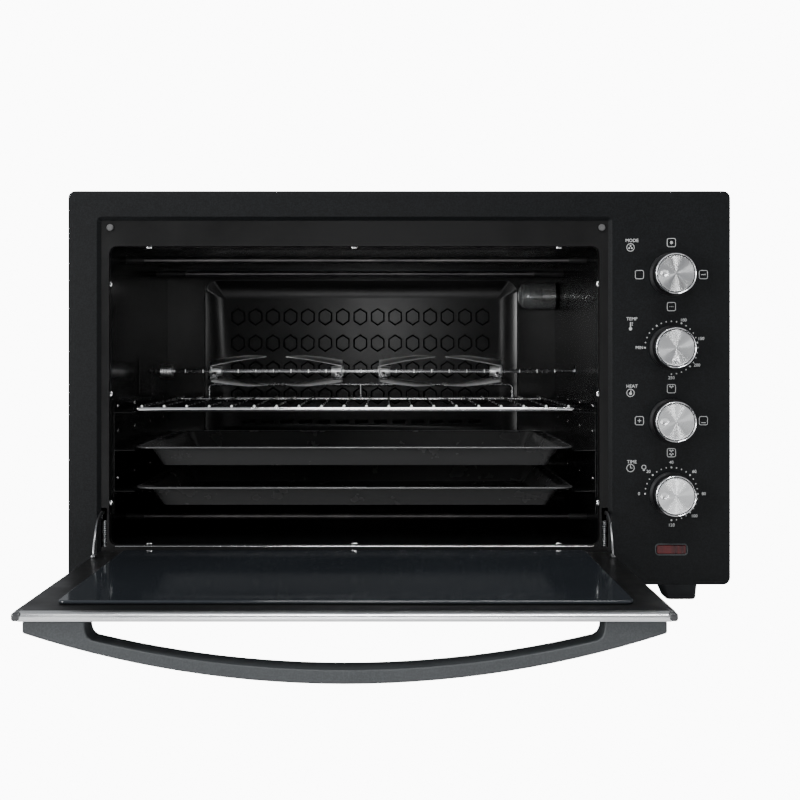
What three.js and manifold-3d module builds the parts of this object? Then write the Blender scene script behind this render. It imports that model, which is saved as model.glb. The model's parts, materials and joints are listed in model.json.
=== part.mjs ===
// Countertop rotisserie oven with its drop-down door open.
// Millimetres, +Z up, +X to the oven's right as its user sees it, +Y to the back.
// Every sub-part is built with y = 0 on the face of the front panel; the whole oven is then
// shifted along Y so that the origin is the centre of its footprint box, on the worktop.
import * as THREE from 'three';
import { mergeVertices } from 'three/addons/utils/BufferGeometryUtils.js';
import Module from 'manifold-3d';

const wasm = await Module();
wasm.setup();

// ---------- driving dimensions ----------
const SHEET = 1; // sheet steel thickness
const GAP = 0.3; // clearance kept between neighbouring pieces

const BODY_HALF = 331; // half the width of the body
const BODY_BOTTOM = 24.6;
const BODY_TOP = 418.3;
const BODY_CORNER = 7;
const FASCIA_DEPTH = 11; // how far the front panel's edge returns to the back
const COVER_END = 458; // where the wrapped cover ends

// the door's recess in the front panel, and the seat that the closed door meets
const RECESS = { x0: -302.5, x1: 213, z0: 48, z1: 392.7, r: 5 };
const RECESS_DEPTH = 3.2;
const RECESS_BEVEL = 3.8;
const SEAT_Y = RECESS_DEPTH + GAP;
const SEAT_THICK = 1.2;
const COLLAR_END = 13;

// the cooking space
const CAVITY = { x0: -290.75, x1: 200.75, z0: 63.3, z1: 363.3, r: 7.5 };
const CAVITY_BACK = 385;
const DISH = { x0: -242.3, x1: 152.5, z0: 138, z1: 346.9, r: 14 };
const DISH_SLOPE = 23.5; // width of the sloping band around the reflector dish
const DISH_DEPTH = 12;
const DISH_SLOTS = 13;

// the door, open, with its hinge line along X
const DOOR_CENTRE = -44.75;
const DOOR_HALF = 255.1;
const HINGE_Y = -2.8;
const HINGE_Z = 54.8;
const DOOR_REACH = 334.2; // hinge line to the door's top edge
const DOOR_LOW = 51.3; // outer face, which looks down when the door is open
const TRIM_DEPTH = 10;
const GLASS = 3;
const FRAME_TOP = 58;
const PANE_HALF = 228.5;
const PANE_NEAR = 299.6; // far edge of the raised inner pane, from the front face
const PANE_BACK = 14;
const DOOR_WINDOW_HALF = 215;

// door hinge arms
const ARM_RADIUS = 42;
const ARM_WIDTH = 5;
const ARM_THICK = 3;
const ARM_OFFSET = 5.8; // from the cavity wall's inner face
const ARM_ANGLES = [8, 105]; // degrees from the open door towards the top
const SLOT_WIDTH = 6.8;
const SLOT_Z = [62, 101];

// door handle
const HANDLE_HALF = 247.9;
const HANDLE_POST = 48.7;
const HANDLE_Y = [-332, -303.4];
const HANDLE_END_Z = 41.6;
const HANDLE_LOW_Z = 2.4;
const GRIP_END_Z = 36.6;
const GRIP_LOW_Z = 13.5;

// controls
const KNOB_X = 272.15;
const KNOB_Z = [334.7, 261.6, 188.6, 115.5];
const KNOB_SKIRT = 22;
const KNOB_CAP = 20.3;
const KNOB_HEIGHT = 25.3;
const STEM_RADIUS = 2.9;
const STEM_LENGTH = 12;
const LAMP_WINDOW = { halfX: 15, halfZ: 4.6, z: 59.8 };

// rotisserie
const SPIT_Y = 190;
const SPIT_Z = 235.5;
const SPIT_RADIUS = 2.3;
const SPIT_X = [-283, 213];
const COLLAR_X = [-269, -254.5];
const COLLAR_RADIUS = 6.8;
const FORKS = [
  { name: 'left_outer', x: -206, points: 1 },
  { name: 'left_inner', x: -68.3, points: -1 },
  { name: 'right_inner', x: -15.6, points: 1 },
  { name: 'right_outer', x: 111.2, points: -1 },
];
const FORK_LENGTH = 58; // hub centre to blade points
const FORK_PLATE_X = 6;
const FORK_BEND_X = 35;
const FORK_ROOT = 12; // distance of the blades from the spit at plate, bend and point
const FORK_BEND = 17.5;
const FORK_TIP = 18.5;
const FORK_ROLL = THREE.MathUtils.degToRad(27);
const HUB_RADIUS = 5.5;
const HUB_HALF = 7;
const SCREW_RADIUS = 2;

// rack, trays and their runners
const RACK_X = [-271.5, 181.9]; // centre lines of the side rails
const RACK_Y = [35, 345];
const RACK_Z = 198.8;
const RAIL_RADIUS = 2.5;
const WIRE_RADIUS = 1.3;
const WIRES = 20;
const STOP_RISE = 18;
const STOP_HALF = 190;
const TRAY_X = [-272, 180.6];
const TRAY_Y = [40, 350];
const TRAY_RIMS = [158.9, 117.4];
const TRAY_DEEP = 20;
const TRAY_RIM = 13;
const RUNNER_Y = [24, 362];
const RUNNER_REACH = 22;
const RUNNER_LOW = 92;
const RUNNER_TOP = 206;

// heating tubes: [name, distance from the front face, height]
const HEATERS = [
  ['heater_upper_front', 100, 355.4],
  ['heater_upper_rear', 300, 351.5],
  ['heater_lower_front', 100, 81.5],
  ['heater_lower_rear', 290, 81.5],
];
const HEATER_RADIUS = 2.9;
const BUSH_RADIUS = 5;

// fan and cavity lamp
const FAN = { x: -45, z: 246, radius: 58, y: 404, blades: 8 };
const LAMP = { y: 355, z: 327, radius: 17, reach: 45 };

// feet
const FOOT = { out: 310, inner: 268, low: 278, lowOut: 308.6, deep: 40, high: 24.3 };
const FOOT_Y = [70, 410];

const GLAND = { x: 230, z: 70, radius: 9, out: 6.5 };
const FRONT_Y = (-HINGE_Y + DOOR_REACH - COVER_END - GAP - SHEET - GAP - GLAND.out) / 2;

// ---------- shape helpers ----------

// A closed three.js geometry as a manifold solid.
function solid(geometry) {
  const bare = geometry.clone();
  bare.deleteAttribute('normal');
  bare.deleteAttribute('uv');
  const merged = mergeVertices(bare, 1e-4);
  return new wasm.Manifold(new wasm.Mesh({
    numProp: 3,
    vertProperties: new Float32Array(merged.attributes.position.array),
    triVerts: new Uint32Array(merged.index.array),
  }));
}

// A manifold solid as a three.js geometry.
function toGeometry(shape) {
  const mesh = shape.getMesh();
  const geometry = new THREE.BufferGeometry();
  geometry.setAttribute('position', new THREE.BufferAttribute(mesh.vertProperties, 3));
  geometry.setIndex(new THREE.BufferAttribute(mesh.triVerts, 1));
  geometry.computeVertexNormals();
  return geometry;
}

function join(...geometries) {
  return toGeometry(geometries.map(solid).reduce((a, b) => a.add(b)));
}

function cut(geometry, ...tools) {
  return toGeometry(tools.map(solid).reduce((a, b) => a.subtract(b), solid(geometry)));
}

function box(x0, x1, y0, y1, z0, z1) {
  const geometry = new THREE.BoxGeometry(x1 - x0, y1 - y0, z1 - z0);
  return geometry.translate((x0 + x1) / 2, (y0 + y1) / 2, (z0 + z1) / 2);
}

// Cylinders along each axis, from one end to the other.
function rodX(x0, x1, y, z, r, sides = 12) {
  const rod = new THREE.CylinderGeometry(r, r, x1 - x0, sides).rotateZ(-Math.PI / 2);
  return rod.translate((x0 + x1) / 2, y, z);
}

function rodY(y0, y1, x, z, r, sides = 12) {
  return new THREE.CylinderGeometry(r, r, y1 - y0, sides).translate(x, (y0 + y1) / 2, z);
}

function rodZ(z0, z1, x, y, r, sides = 8) {
  const rod = new THREE.CylinderGeometry(r, r, z1 - z0, sides).rotateX(Math.PI / 2);
  return rod.translate(x, y, (z0 + z1) / 2);
}

// The corner points of a rounded rectangle, counter-clockwise.
function roundedPoints({ x0, x1, z0, z1, r }, grow = 0, arc = 4) {
  const radius = Math.max(r + grow, 0.5);
  const centres = [
    [x1 + grow - radius, z0 - grow + radius, -90],
    [x1 + grow - radius, z1 + grow - radius, 0],
    [x0 - grow + radius, z1 + grow - radius, 90],
    [x0 - grow + radius, z0 - grow + radius, 180],
  ];
  const points = [];
  for (const [cx, cz, start] of centres) {
    for (let i = 0; i <= arc; i += 1) {
      const angle = THREE.MathUtils.degToRad(start + (90 * i) / arc);
      points.push(new THREE.Vector2(cx + radius * Math.cos(angle), cz + radius * Math.sin(angle)));
    }
  }
  return points;
}

// An outline drawn in X and Z, pushed along Y.
function plateY(points, y0, y1) {
  const options = { depth: y1 - y0, bevelEnabled: false, steps: 1 };
  const plate = new THREE.ExtrudeGeometry(new THREE.Shape(points), options);
  return plate.rotateX(Math.PI / 2).translate(0, y1, 0);
}

// An outline drawn in Y and Z, pushed along X.
function plateX(points, x0, x1) {
  const options = { depth: x1 - x0, bevelEnabled: false, steps: 1 };
  const plate = new THREE.ExtrudeGeometry(new THREE.Shape(points), options);
  const turn = new THREE.Matrix4().makeBasis(
    new THREE.Vector3(0, 1, 0),
    new THREE.Vector3(0, 0, 1),
    new THREE.Vector3(1, 0, 0),
  );
  return plate.applyMatrix4(turn).translate(x0, 0, 0);
}

// A solid between two convex outlines of equal point count, one at each end.
// place(point, which end) gives a point's position.
function loft(first, last, place) {
  const count = first.length;
  const corners = [...first.map((p) => place(p, 0)), ...last.map((p) => place(p, 1))];
  const index = [];
  for (let i = 0; i < count; i += 1) {
    const next = (i + 1) % count;
    index.push(i, next, count + i, next, count + next, count + i);
    if (i > 0 && i < count - 1) {
      index.push(0, i + 1, i, count, count + i, count + i + 1);
    }
  }
  const geometry = new THREE.BufferGeometry().setFromPoints(corners);
  geometry.setIndex(index);
  return geometry;
}

// A loft along Y between two outlines in X and Z, and one along Z between two in X and Y.
function loftY(first, y0, last, y1) {
  return loft(last, first, (p, end) => new THREE.Vector3(p.x, end ? y0 : y1, p.y));
}

function loftZ(first, z0, last, z1) {
  return loft(first, last, (p, end) => new THREE.Vector3(p.x, p.y, end ? z1 : z0));
}

// A profile of [radius, height] pairs turned about the line along an axis.
function turned(profile, sides) {
  return new THREE.LatheGeometry(profile.map(([r, h]) => new THREE.Vector2(r, h)), sides);
}

// ---------- the scene graph ----------
const oven = new THREE.Group();
oven.position.y = FRONT_Y;

const MATERIALS = {
  blackPanel: { color: 0x1c1e20, roughness: 0.42, metalness: 0.6 },
  darkSheet: { color: 0x2a2b2d, roughness: 0.55, metalness: 0.5 },
  enamel: { color: 0x232427, roughness: 0.35, metalness: 0.3 },
  chrome: { color: 0xd4d6d8, roughness: 0.15, metalness: 1 },
  steel: { color: 0xa9abad, roughness: 0.32, metalness: 1 },
  aluminium: { color: 0xc9cbcd, roughness: 0.28, metalness: 1 },
  glass: { color: 0x0c0e11, roughness: 0.06, metalness: 0 },
  clearGlass: { color: 0xe8ecec, roughness: 0.08, metalness: 0 },
  greyPlastic: { color: 0x3b4043, roughness: 0.6, metalness: 0 },
  blackPlastic: { color: 0x151618, roughness: 0.4, metalness: 0 },
  rubber: { color: 0x4c4e50, roughness: 0.85, metalness: 0 },
  red: { color: 0xb5121b, roughness: 0.2, metalness: 0 },
};

function add(name, geometry, material) {
  const mesh = new THREE.Mesh(geometry, new THREE.MeshStandardMaterial(MATERIALS[material]));
  mesh.name = name;
  oven.add(mesh);
  return mesh;
}

const BODY = {
  x0: -BODY_HALF,
  x1: BODY_HALF,
  z0: BODY_BOTTOM,
  z1: BODY_TOP,
  r: BODY_CORNER,
};

function knobHole(z) {
  return rodY(-1, 20, KNOB_X, z, STEM_RADIUS + 1.6, 16);
}

function hingeX(side) {
  return side > 0 ? CAVITY.x1 + ARM_OFFSET : CAVITY.x0 - ARM_OFFSET;
}

// ---------- casing ----------
function frontPanel() {
  const inner = roundedPoints(BODY, -1.2);
  const shell = cut(
    plateY(roundedPoints(BODY), 0, FASCIA_DEPTH),
    plateY(inner, 1.6, FASCIA_DEPTH + 1),
  );
  const lip = plateY(roundedPoints(RECESS, 2.2), 1, RECESS_DEPTH);
  const slope = RECESS_BEVEL / RECESS_DEPTH;
  const bevel = loftY(
    roundedPoints(RECESS, slope * 0.5),
    -0.5,
    roundedPoints(RECESS, -slope * (RECESS_DEPTH + 0.5)),
    RECESS_DEPTH + 0.5,
  );
  const window = box(
    KNOB_X - LAMP_WINDOW.halfX,
    KNOB_X + LAMP_WINDOW.halfX,
    -1,
    3,
    LAMP_WINDOW.z - LAMP_WINDOW.halfZ,
    LAMP_WINDOW.z + LAMP_WINDOW.halfZ,
  );
  return cut(join(shell, lip), bevel, window, ...KNOB_Z.map(knobHole));
}

const BUMPERS = [['left', RECESS.x0 + 12.85], ['right', RECESS.x1 - 10.05]];
const BUMPER_Z = 382;

function doorSeat() {
  const plate = plateY(roundedPoints(RECESS, 2), SEAT_Y, SEAT_Y + SEAT_THICK);
  const collar = plateY(roundedPoints(CAVITY, SHEET), SEAT_Y, COLLAR_END);
  const opening = plateY(roundedPoints(CAVITY), SEAT_Y - 1, COLLAR_END + 1);
  const slots = [-1, 1].map((side) => {
    const x = hingeX(side);
    return box(x - SLOT_WIDTH / 2, x + SLOT_WIDTH / 2, 0, COLLAR_END + 1, ...SLOT_Z);
  });
  const holes = BUMPERS.map(([, x]) => rodY(0, 8, x, BUMPER_Z, 1.9, 10));
  return cut(join(plate, collar), opening, ...slots, ...holes);
}

function bumper(x) {
  const profile = [[0, 0], [3, 0], [3.5, 0.6], [3.5, 2.3], [1.5, 2.3], [1.5, 6], [0, 6]];
  return turned(profile, 14).translate(x, 0.9, BUMPER_Z);
}

// The folded sheet over the top and both sides, with louvre slots in the sides.
function outerCover() {
  const outer = roundedPoints(BODY);
  const skin = plateY(outer, FASCIA_DEPTH + GAP, COVER_END);
  const hollow = plateY(roundedPoints(BODY, -SHEET), 0, COVER_END + 1);
  const below = box(-BODY_HALF, BODY_HALF, 0, COVER_END + 1, 0, BODY_BOTTOM + BODY_CORNER);
  const slots = [];
  for (const side of [-1, 1]) {
    const x = side * BODY_HALF;
    for (let i = 0; i < 9; i += 1) {
      const y = 300 + i * 14;
      slots.push(box(x - 3, x + 3, y, y + 6, 300, 350));
    }
  }
  return cut(skin, hollow, below, ...slots);
}

// The bottom pan, whose folded sides stand up inside the cover.
function basePlate() {
  const outer = { x0: -BODY_HALF, x1: BODY_HALF, z0: BODY_BOTTOM, z1: BODY_BOTTOM + 60, r: 7 };
  const pan = plateY(roundedPoints(outer), FASCIA_DEPTH + GAP, COVER_END);
  const hollow = plateY(roundedPoints(outer, -SHEET), 0, COVER_END + 1);
  const top = BODY_BOTTOM + BODY_CORNER - GAP;
  const above = box(-BODY_HALF - 1, BODY_HALF + 1, 0, COVER_END + 1, top, BODY_BOTTOM + 61);
  return cut(pan, hollow, above);
}

function rearPanel() {
  const plate = plateY(roundedPoints(BODY), COVER_END + GAP, COVER_END + GAP + SHEET);
  const slots = [];
  for (let row = 0; row < 3; row += 1) {
    for (let i = 0; i < 9; i += 1) {
      const x = -125 + i * 20;
      const z = 190 + row * 50;
      slots.push(box(x - 3, x + 3, COVER_END - 1, COVER_END + 3, z, z + 32));
    }
  }
  const hole = rodY(COVER_END - 1, COVER_END + 3, GLAND.x, GLAND.z, GLAND.radius - 2, 16);
  return cut(plate, hole, ...slots);
}

// The rubber gland that the supply lead passes through.
function cordGland() {
  const neck = GLAND.radius - 2.4;
  const start = COVER_END - 6;
  const back = COVER_END + GAP + SHEET + GAP;
  const profile = [
    [4, 0],
    [neck + 1, 0],
    [neck + 1, 5.6],
    [neck, 5.6],
    [neck, back - start],
    [GLAND.radius, back - start],
    [GLAND.radius - 2, back - start + GLAND.out],
    [4, back - start + GLAND.out],
    [4, 0],
  ];
  return turned(profile, 16).translate(GLAND.x, start, GLAND.z);
}

function foot(side, y) {
  const rect = (x0, x1, half) => roundedPoints({ x0, x1, z0: -half, z1: half, r: 4 }, 0, 2);
  const low = rect(FOOT.low, FOOT.lowOut, FOOT.deep / 2 - 5);
  const high = rect(FOOT.inner, FOOT.out, FOOT.deep / 2);
  const geometry = loftZ(low, 0, high, FOOT.high).translate(0, y, 0);
  if (side < 0) {
    geometry.rotateZ(Math.PI).translate(0, 2 * y, 0);
  }
  return geometry;
}

// ---------- cooking space ----------
const WALL_Y = [COLLAR_END + GAP, CAVITY_BACK];

function heaterHoles(x) {
  return HEATERS.map(([, y, z]) => rodX(x - 3, x + 3, y, z, BUSH_RADIUS + 0.4, 14));
}

function sideWall(x, ...holes) {
  const z = [CAVITY.z0 + GAP, CAVITY.z1 - GAP];
  return cut(box(x - SHEET / 2, x + SHEET / 2, ...WALL_Y, ...z), ...heaterHoles(x), ...holes);
}

function backWall() {
  const grown = { ...CAVITY, r: 2 };
  const y = [CAVITY_BACK + GAP, CAVITY_BACK + GAP + SHEET];
  const opening = plateY(roundedPoints(DISH, 1.4), y[0] - 1, y[1] + 1);
  return cut(plateY(roundedPoints(grown, SHEET, 1), ...y), opening);
}

// The stamped dish in the back wall, with air slots along its lower edge.
function reflectorDish() {
  const y = CAVITY_BACK + GAP;
  const slope = DISH_SLOPE / DISH_DEPTH;
  const outside = loftY(
    roundedPoints(DISH, 1),
    y,
    roundedPoints(DISH, 1 - DISH_SLOPE),
    y + DISH_DEPTH + SHEET,
  );
  const inside = loftY(
    roundedPoints(DISH, slope),
    y - 1,
    roundedPoints(DISH, -DISH_SLOPE),
    y + DISH_DEPTH,
  );
  const pitch = 24;
  const slots = [];
  for (let i = 0; i < DISH_SLOTS; i += 1) {
    const x = (DISH.x0 + DISH.x1) / 2 + (i - (DISH_SLOTS - 1) / 2) * pitch;
    const z = DISH.z0 + DISH_SLOPE + 4;
    slots.push(box(x - 8, x + 8, y + DISH_DEPTH - 3, y + DISH_DEPTH + 3, z, z + 4));
  }
  return cut(outside, inside, ...slots);
}

// A sheathed heating tube from wall to wall, with a ceramic bush through each wall.
function heater(y, z) {
  const half = (CAVITY.x1 - CAVITY.x0) / 2;
  const end = half + 12;
  const bush = half - 15;
  const profile = [
    [0, -end],
    [BUSH_RADIUS, -end],
    [BUSH_RADIUS, -bush],
    [HEATER_RADIUS, -bush],
    [HEATER_RADIUS, bush],
    [BUSH_RADIUS, bush],
    [BUSH_RADIUS, end],
    [0, end],
  ];
  const centre = (CAVITY.x0 + CAVITY.x1) / 2;
  return turned(profile, 12).rotateZ(-Math.PI / 2).translate(centre, y, z);
}

// Three ledges folded out of one wall plate.
function shelfRunner(side) {
  const wall = RUNNER_REACH;
  const tops = [RACK_Z - RAIL_RADIUS, ...TRAY_RIMS.map((rim) => rim - SHEET)];
  const points = [[0, RUNNER_LOW], [1, RUNNER_LOW]];
  for (const top of tops.toReversed()) {
    const z = top - GAP;
    points.push([1, z - SHEET], [wall, z - SHEET], [wall, z], [1, z]);
  }
  points.push([1, RUNNER_TOP], [0, RUNNER_TOP]);
  const x = side < 0 ? CAVITY.x0 + GAP : CAVITY.x1 - GAP;
  const outline = points.map(([out, z]) => new THREE.Vector2(x - side * out, z));
  if (side > 0) {
    outline.reverse();
  }
  return plateY(outline, ...RUNNER_Y);
}

// The lamp: a glass jar in the cooking space and its holder behind the wall.
function lampGlass() {
  const r = LAMP.radius;
  const profile = [
    [r - 1.5, 0],
    [r, 0],
    [r, LAMP.reach - 12],
    [r * 0.86, LAMP.reach - 4],
    [r * 0.45, LAMP.reach],
    [0, LAMP.reach],
    [0, LAMP.reach - 1.5],
    [r * 0.42, LAMP.reach - 1.5],
    [r * 0.8, LAMP.reach - 5.5],
    [r - 1.5, LAMP.reach - 13],
    [r - 1.5, 0],
  ];
  return turned(profile, 18).rotateZ(Math.PI / 2).translate(CAVITY.x1 - 4, LAMP.y, LAMP.z);
}

function lampHolder() {
  const base = CAVITY.x1 - 4 + GAP;
  const profile = [
    [0, 0],
    [6, 0],
    [6, 10],
    [LAMP.radius - 0.5, 22],
    [LAMP.radius - 0.5, 23.4],
    [0, 23.4],
  ];
  const cup = turned(profile, 18).rotateZ(Math.PI / 2).translate(base + 23.4, LAMP.y, LAMP.z);
  const bulb = rodX(base - 26, base + 1, LAMP.y, LAMP.z, 6, 12);
  return join(cup, bulb);
}

// ---------- rotisserie ----------
function spitRod() {
  const collar = rodX(...COLLAR_X, SPIT_Y, SPIT_Z, COLLAR_RADIUS, 18);
  return join(rodX(...SPIT_X, SPIT_Y, SPIT_Z, SPIT_RADIUS, 8), collar);
}

// Folded sheet bracket on the left wall, with an open hook for the spit.
function spitBracket() {
  const x = CAVITY.x0 + GAP;
  const low = SPIT_Z - 28;
  const flange = box(x, x + 1.2, SPIT_Y - 18, SPIT_Y + 18, low, SPIT_Z + 14);
  const web = box(x, x + 14.4, SPIT_Y - 14, SPIT_Y + 14, low, low + 1.2);
  const hook = box(x + 13.2, x + 14.4, SPIT_Y - 14, SPIT_Y + 14, low, SPIT_Z + 9);
  const notch = box(x + 10, x + 20, SPIT_Y - 3.2, SPIT_Y + 3.2, SPIT_Z - 3, SPIT_Z + 20);
  return cut(join(flange, web, hook), notch);
}

function rotisserieMotor() {
  const x = CAVITY.x1 + SHEET + GAP;
  const body = rodX(x, x + 24, SPIT_Y, SPIT_Z, 25, 24);
  const ears = box(x, x + 2, SPIT_Y - 36, SPIT_Y + 36, SPIT_Z - 8, SPIT_Z + 8);
  const bore = rodX(x - 1, x + 16, SPIT_Y, SPIT_Z, SPIT_RADIUS + 1.2, 12);
  return cut(join(body, ears), bore);
}

// A fork is built about its hub at the origin, with the spit along X and its blades towards +X.
// Each blade is a strip that leaves the cross plate outwards, bends, and narrows to a point.
function forkBlade(side) {
  const stations = [
    [FORK_PLATE_X - 1.6, FORK_ROOT, 7, 0.8],
    [FORK_BEND_X, FORK_BEND, 4.2, 0.7],
    [FORK_LENGTH, FORK_TIP, 0.7, 0.4],
  ];
  const rings = stations.map(([x, out, half, thick]) => {
    const corners = [[-half, -thick], [half, -thick], [half, thick], [-half, thick]];
    const ring = corners.map(([y, z]) => new THREE.Vector3(x, y, side * (out - thick + z)));
    return side > 0 ? ring : ring.reverse();
  });
  const place = (first, last) => loft(first, last, (p) => p);
  return [place(rings[0], rings[1]), place(rings[1], rings[2])];
}

// The thumbscrew stands across the blades, turned about the spit by the given angle.
function forkShape(turn) {
  const hub = rodX(-HUB_HALF, HUB_HALF, 0, 0, HUB_RADIUS, 14);
  const plate = box(FORK_PLATE_X - 1.6, FORK_PLATE_X, -7, 7, -FORK_ROOT, FORK_ROOT);
  const parts = [hub, plate, ...forkBlade(1), ...forkBlade(-1)];
  const bore = rodX(-20, 20, 0, 0, SPIT_RADIUS + 0.5, 8);
  const tapped = rodZ(-20, 0, 0, 0, SCREW_RADIUS + 0.4, 8);
  return cut(join(...parts), bore, tapped.rotateX(turn).translate(-1, 0, 0));
}

function thumbscrewShape(turn) {
  const stem = SPIT_RADIUS + 0.6;
  const profile = [
    [0, stem],
    [SCREW_RADIUS, stem],
    [SCREW_RADIUS, 8],
    [3.4, 8],
    [3.4, 14],
    [0, 14],
  ];
  const screw = turned(profile, 12).rotateX(-Math.PI / 2);
  const wing = box(-6, 6, -1, 1, -20, -13);
  return join(screw, wing).rotateX(turn).translate(-1, 0, 0);
}

// ---------- rack and trays ----------
function wireRack() {
  const [x0, x1] = RACK_X;
  const [y0, y1] = RACK_Y;
  const wireZ = RACK_Z + RAIL_RADIUS + 0.4;
  const parts = [
    rodX(x0 - RAIL_RADIUS, x1 + RAIL_RADIUS, y0, RACK_Z, RAIL_RADIUS, 8),
    rodX(x0, x1, y1, RACK_Z, RAIL_RADIUS, 8),
    rodY(y0, y1, x0, RACK_Z, RAIL_RADIUS - 0.1, 8),
    rodY(y0, y1, x1, RACK_Z, RAIL_RADIUS - 0.1, 8),
  ];
  const centre = (x0 + x1) / 2;
  const pitch = (x1 - x0 - 10) / (WIRES - 1);
  for (let i = 0; i < WIRES; i += 1) {
    const x = centre + (i - (WIRES - 1) / 2) * pitch;
    parts.push(rodY(y0 - 1, y1 + 1, x, wireZ, WIRE_RADIUS, 6));
  }
  const stopZ = RACK_Z + STOP_RISE;
  parts.push(rodX(centre - STOP_HALF, centre + STOP_HALF, y1, stopZ, WIRE_RADIUS + 0.7, 8));
  for (const side of [-1, 0, 1]) {
    const x = centre + side * (STOP_HALF - WIRE_RADIUS - 0.7);
    parts.push(rodZ(RACK_Z, stopZ, x, y1, WIRE_RADIUS + 0.6, 8));
  }
  return join(...parts);
}

function tray(rim) {
  const outline = (inset) => roundedPoints({
    x0: TRAY_X[0] + inset,
    x1: TRAY_X[1] - inset,
    z0: TRAY_Y[0] + inset,
    z1: TRAY_Y[1] - inset,
    r: Math.max(16 - inset / 2, 5),
  }, 0, 3);
  const floor = rim - TRAY_DEEP;
  const lip = loftZ(outline(0), rim - SHEET, outline(0), rim);
  const pan = loftZ(outline(TRAY_RIM + 12.5), floor, outline(TRAY_RIM), rim - 0.4);
  const slope = 12.5 / TRAY_DEEP;
  const well = loftZ(
    outline(TRAY_RIM + 12.5 + 1 - slope),
    floor + SHEET,
    outline(TRAY_RIM + 1 - slope),
    rim + 1,
  );
  return cut(join(lip, pan), well);
}

// ---------- door ----------
const DOOR = { x0: DOOR_CENTRE - DOOR_HALF, x1: DOOR_CENTRE + DOOR_HALF };
const DOOR_TOP_Y = HINGE_Y - DOOR_REACH;
const DOOR_LEAF_Y = [DOOR_TOP_Y + TRIM_DEPTH + GAP, HINGE_Y + 3];
const PANE_Y = [-PANE_NEAR, -PANE_BACK];

function doorOuterGlass() {
  return box(DOOR.x0, DOOR.x1, ...DOOR_LEAF_Y, DOOR_LOW, DOOR_LOW + GLASS);
}

function doorFrame() {
  const low = DOOR_LOW + GLASS + GAP;
  const leaf = box(DOOR.x0, DOOR.x1, ...DOOR_LEAF_Y, low, FRAME_TOP);
  const x = [DOOR_CENTRE - DOOR_WINDOW_HALF, DOOR_CENTRE + DOOR_WINDOW_HALF];
  return cut(leaf, box(...x, PANE_Y[0] + 14, PANE_Y[1] - 14, low - 1, FRAME_TOP + 1));
}

function doorInnerGlass() {
  const pane = { x0: DOOR_CENTRE - PANE_HALF, x1: DOOR_CENTRE + PANE_HALF };
  const outline = roundedPoints({ ...pane, z0: PANE_Y[0], z1: PANE_Y[1], r: 6 });
  return loftZ(outline, FRAME_TOP + GAP, outline, FRAME_TOP + GAP + GLASS);
}

// Aluminium profile along the door's top edge.
function doorTrim() {
  const y = [DOOR_TOP_Y, DOOR_TOP_Y + TRIM_DEPTH];
  const points = [
    [y[0] + 0.8, DOOR_LOW],
    [y[1], DOOR_LOW],
    [y[1], FRAME_TOP + GAP],
    [y[0] + 0.8, FRAME_TOP + GAP],
    [y[0], FRAME_TOP - 1],
    [y[0], DOOR_LOW + 1],
  ];
  return plateX(points.map(([a, b]) => new THREE.Vector2(a, b)), DOOR.x0, DOOR.x1);
}

// Points of a shallow bow through (-half, high), (0, low) and (half, high).
function bow(half, high, low, count) {
  const rise = high - low;
  const radius = (half * half + rise * rise) / (2 * rise);
  const reach = Math.asin(half / radius);
  const points = [];
  for (let i = 0; i <= count; i += 1) {
    const angle = -reach + (2 * reach * i) / count;
    points.push([radius * Math.sin(angle), low + radius * (1 - Math.cos(angle))]);
  }
  return points;
}

// A bowed bar with a broad post at each end, fixed under the door's top edge.
function doorHandle() {
  const top = DOOR_LOW - GAP;
  const grip = HANDLE_HALF - HANDLE_POST;
  const outer = bow(HANDLE_HALF, HANDLE_END_Z, HANDLE_LOW_Z, 28);
  const inner = bow(grip - 5, GRIP_END_Z - 0.5, GRIP_LOW_Z, 24).toReversed();
  const points = [
    ...outer,
    [HANDLE_HALF, top],
    [grip + 1, top],
    [grip, GRIP_END_Z + 6],
    [grip - 1.5, GRIP_END_Z + 2],
    ...inner,
    [-grip + 1.5, GRIP_END_Z + 2],
    [-grip, GRIP_END_Z + 6],
    [-grip - 1, top],
    [-HANDLE_HALF, top],
  ];
  const outline = points.map(([x, z]) => new THREE.Vector2(DOOR_CENTRE + x, z));
  return plateY(outline, ...HANDLE_Y);
}

// A curved strap centred on the hinge line, with a foot on the door.
function hingeArm(side) {
  const x = hingeX(side);
  const ends = ARM_ANGLES.map((a) => THREE.MathUtils.degToRad(a));
  const steps = 14;
  const rim = (radius, i) => {
    const angle = ends[0] + ((ends[1] - ends[0]) * i) / steps;
    return new THREE.Vector2(
      HINGE_Y - radius * Math.cos(angle),
      HINGE_Z + radius * Math.sin(angle),
    );
  };
  const points = [];
  for (let i = 0; i <= steps; i += 1) {
    points.push(rim(ARM_RADIUS - ARM_WIDTH / 2, i));
  }
  for (let i = steps; i >= 0; i -= 1) {
    points.push(rim(ARM_RADIUS + ARM_WIDTH / 2, i));
  }
  const strap = plateX(points.toReversed(), x - ARM_THICK / 2, x + ARM_THICK / 2);
  const base = [FRAME_TOP + GAP, FRAME_TOP + GAP + 3.2];
  const footY = HINGE_Y - ARM_RADIUS;
  return join(strap, box(x - 1.9, x + 1.9, footY - 3.5, footY + 8, ...base));
}

// A coil spring from the base up to the end of the hinge arm.
class Helix extends THREE.Curve {
  constructor(radius, turns, height) {
    super();
    this.radius = radius;
    this.turns = turns;
    this.height = height;
  }

  getPoint(t, target = new THREE.Vector3()) {
    const angle = 2 * Math.PI * this.turns * t;
    const { radius } = this;
    return target.set(radius * Math.cos(angle), radius * Math.sin(angle), this.height * t);
  }
}

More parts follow.
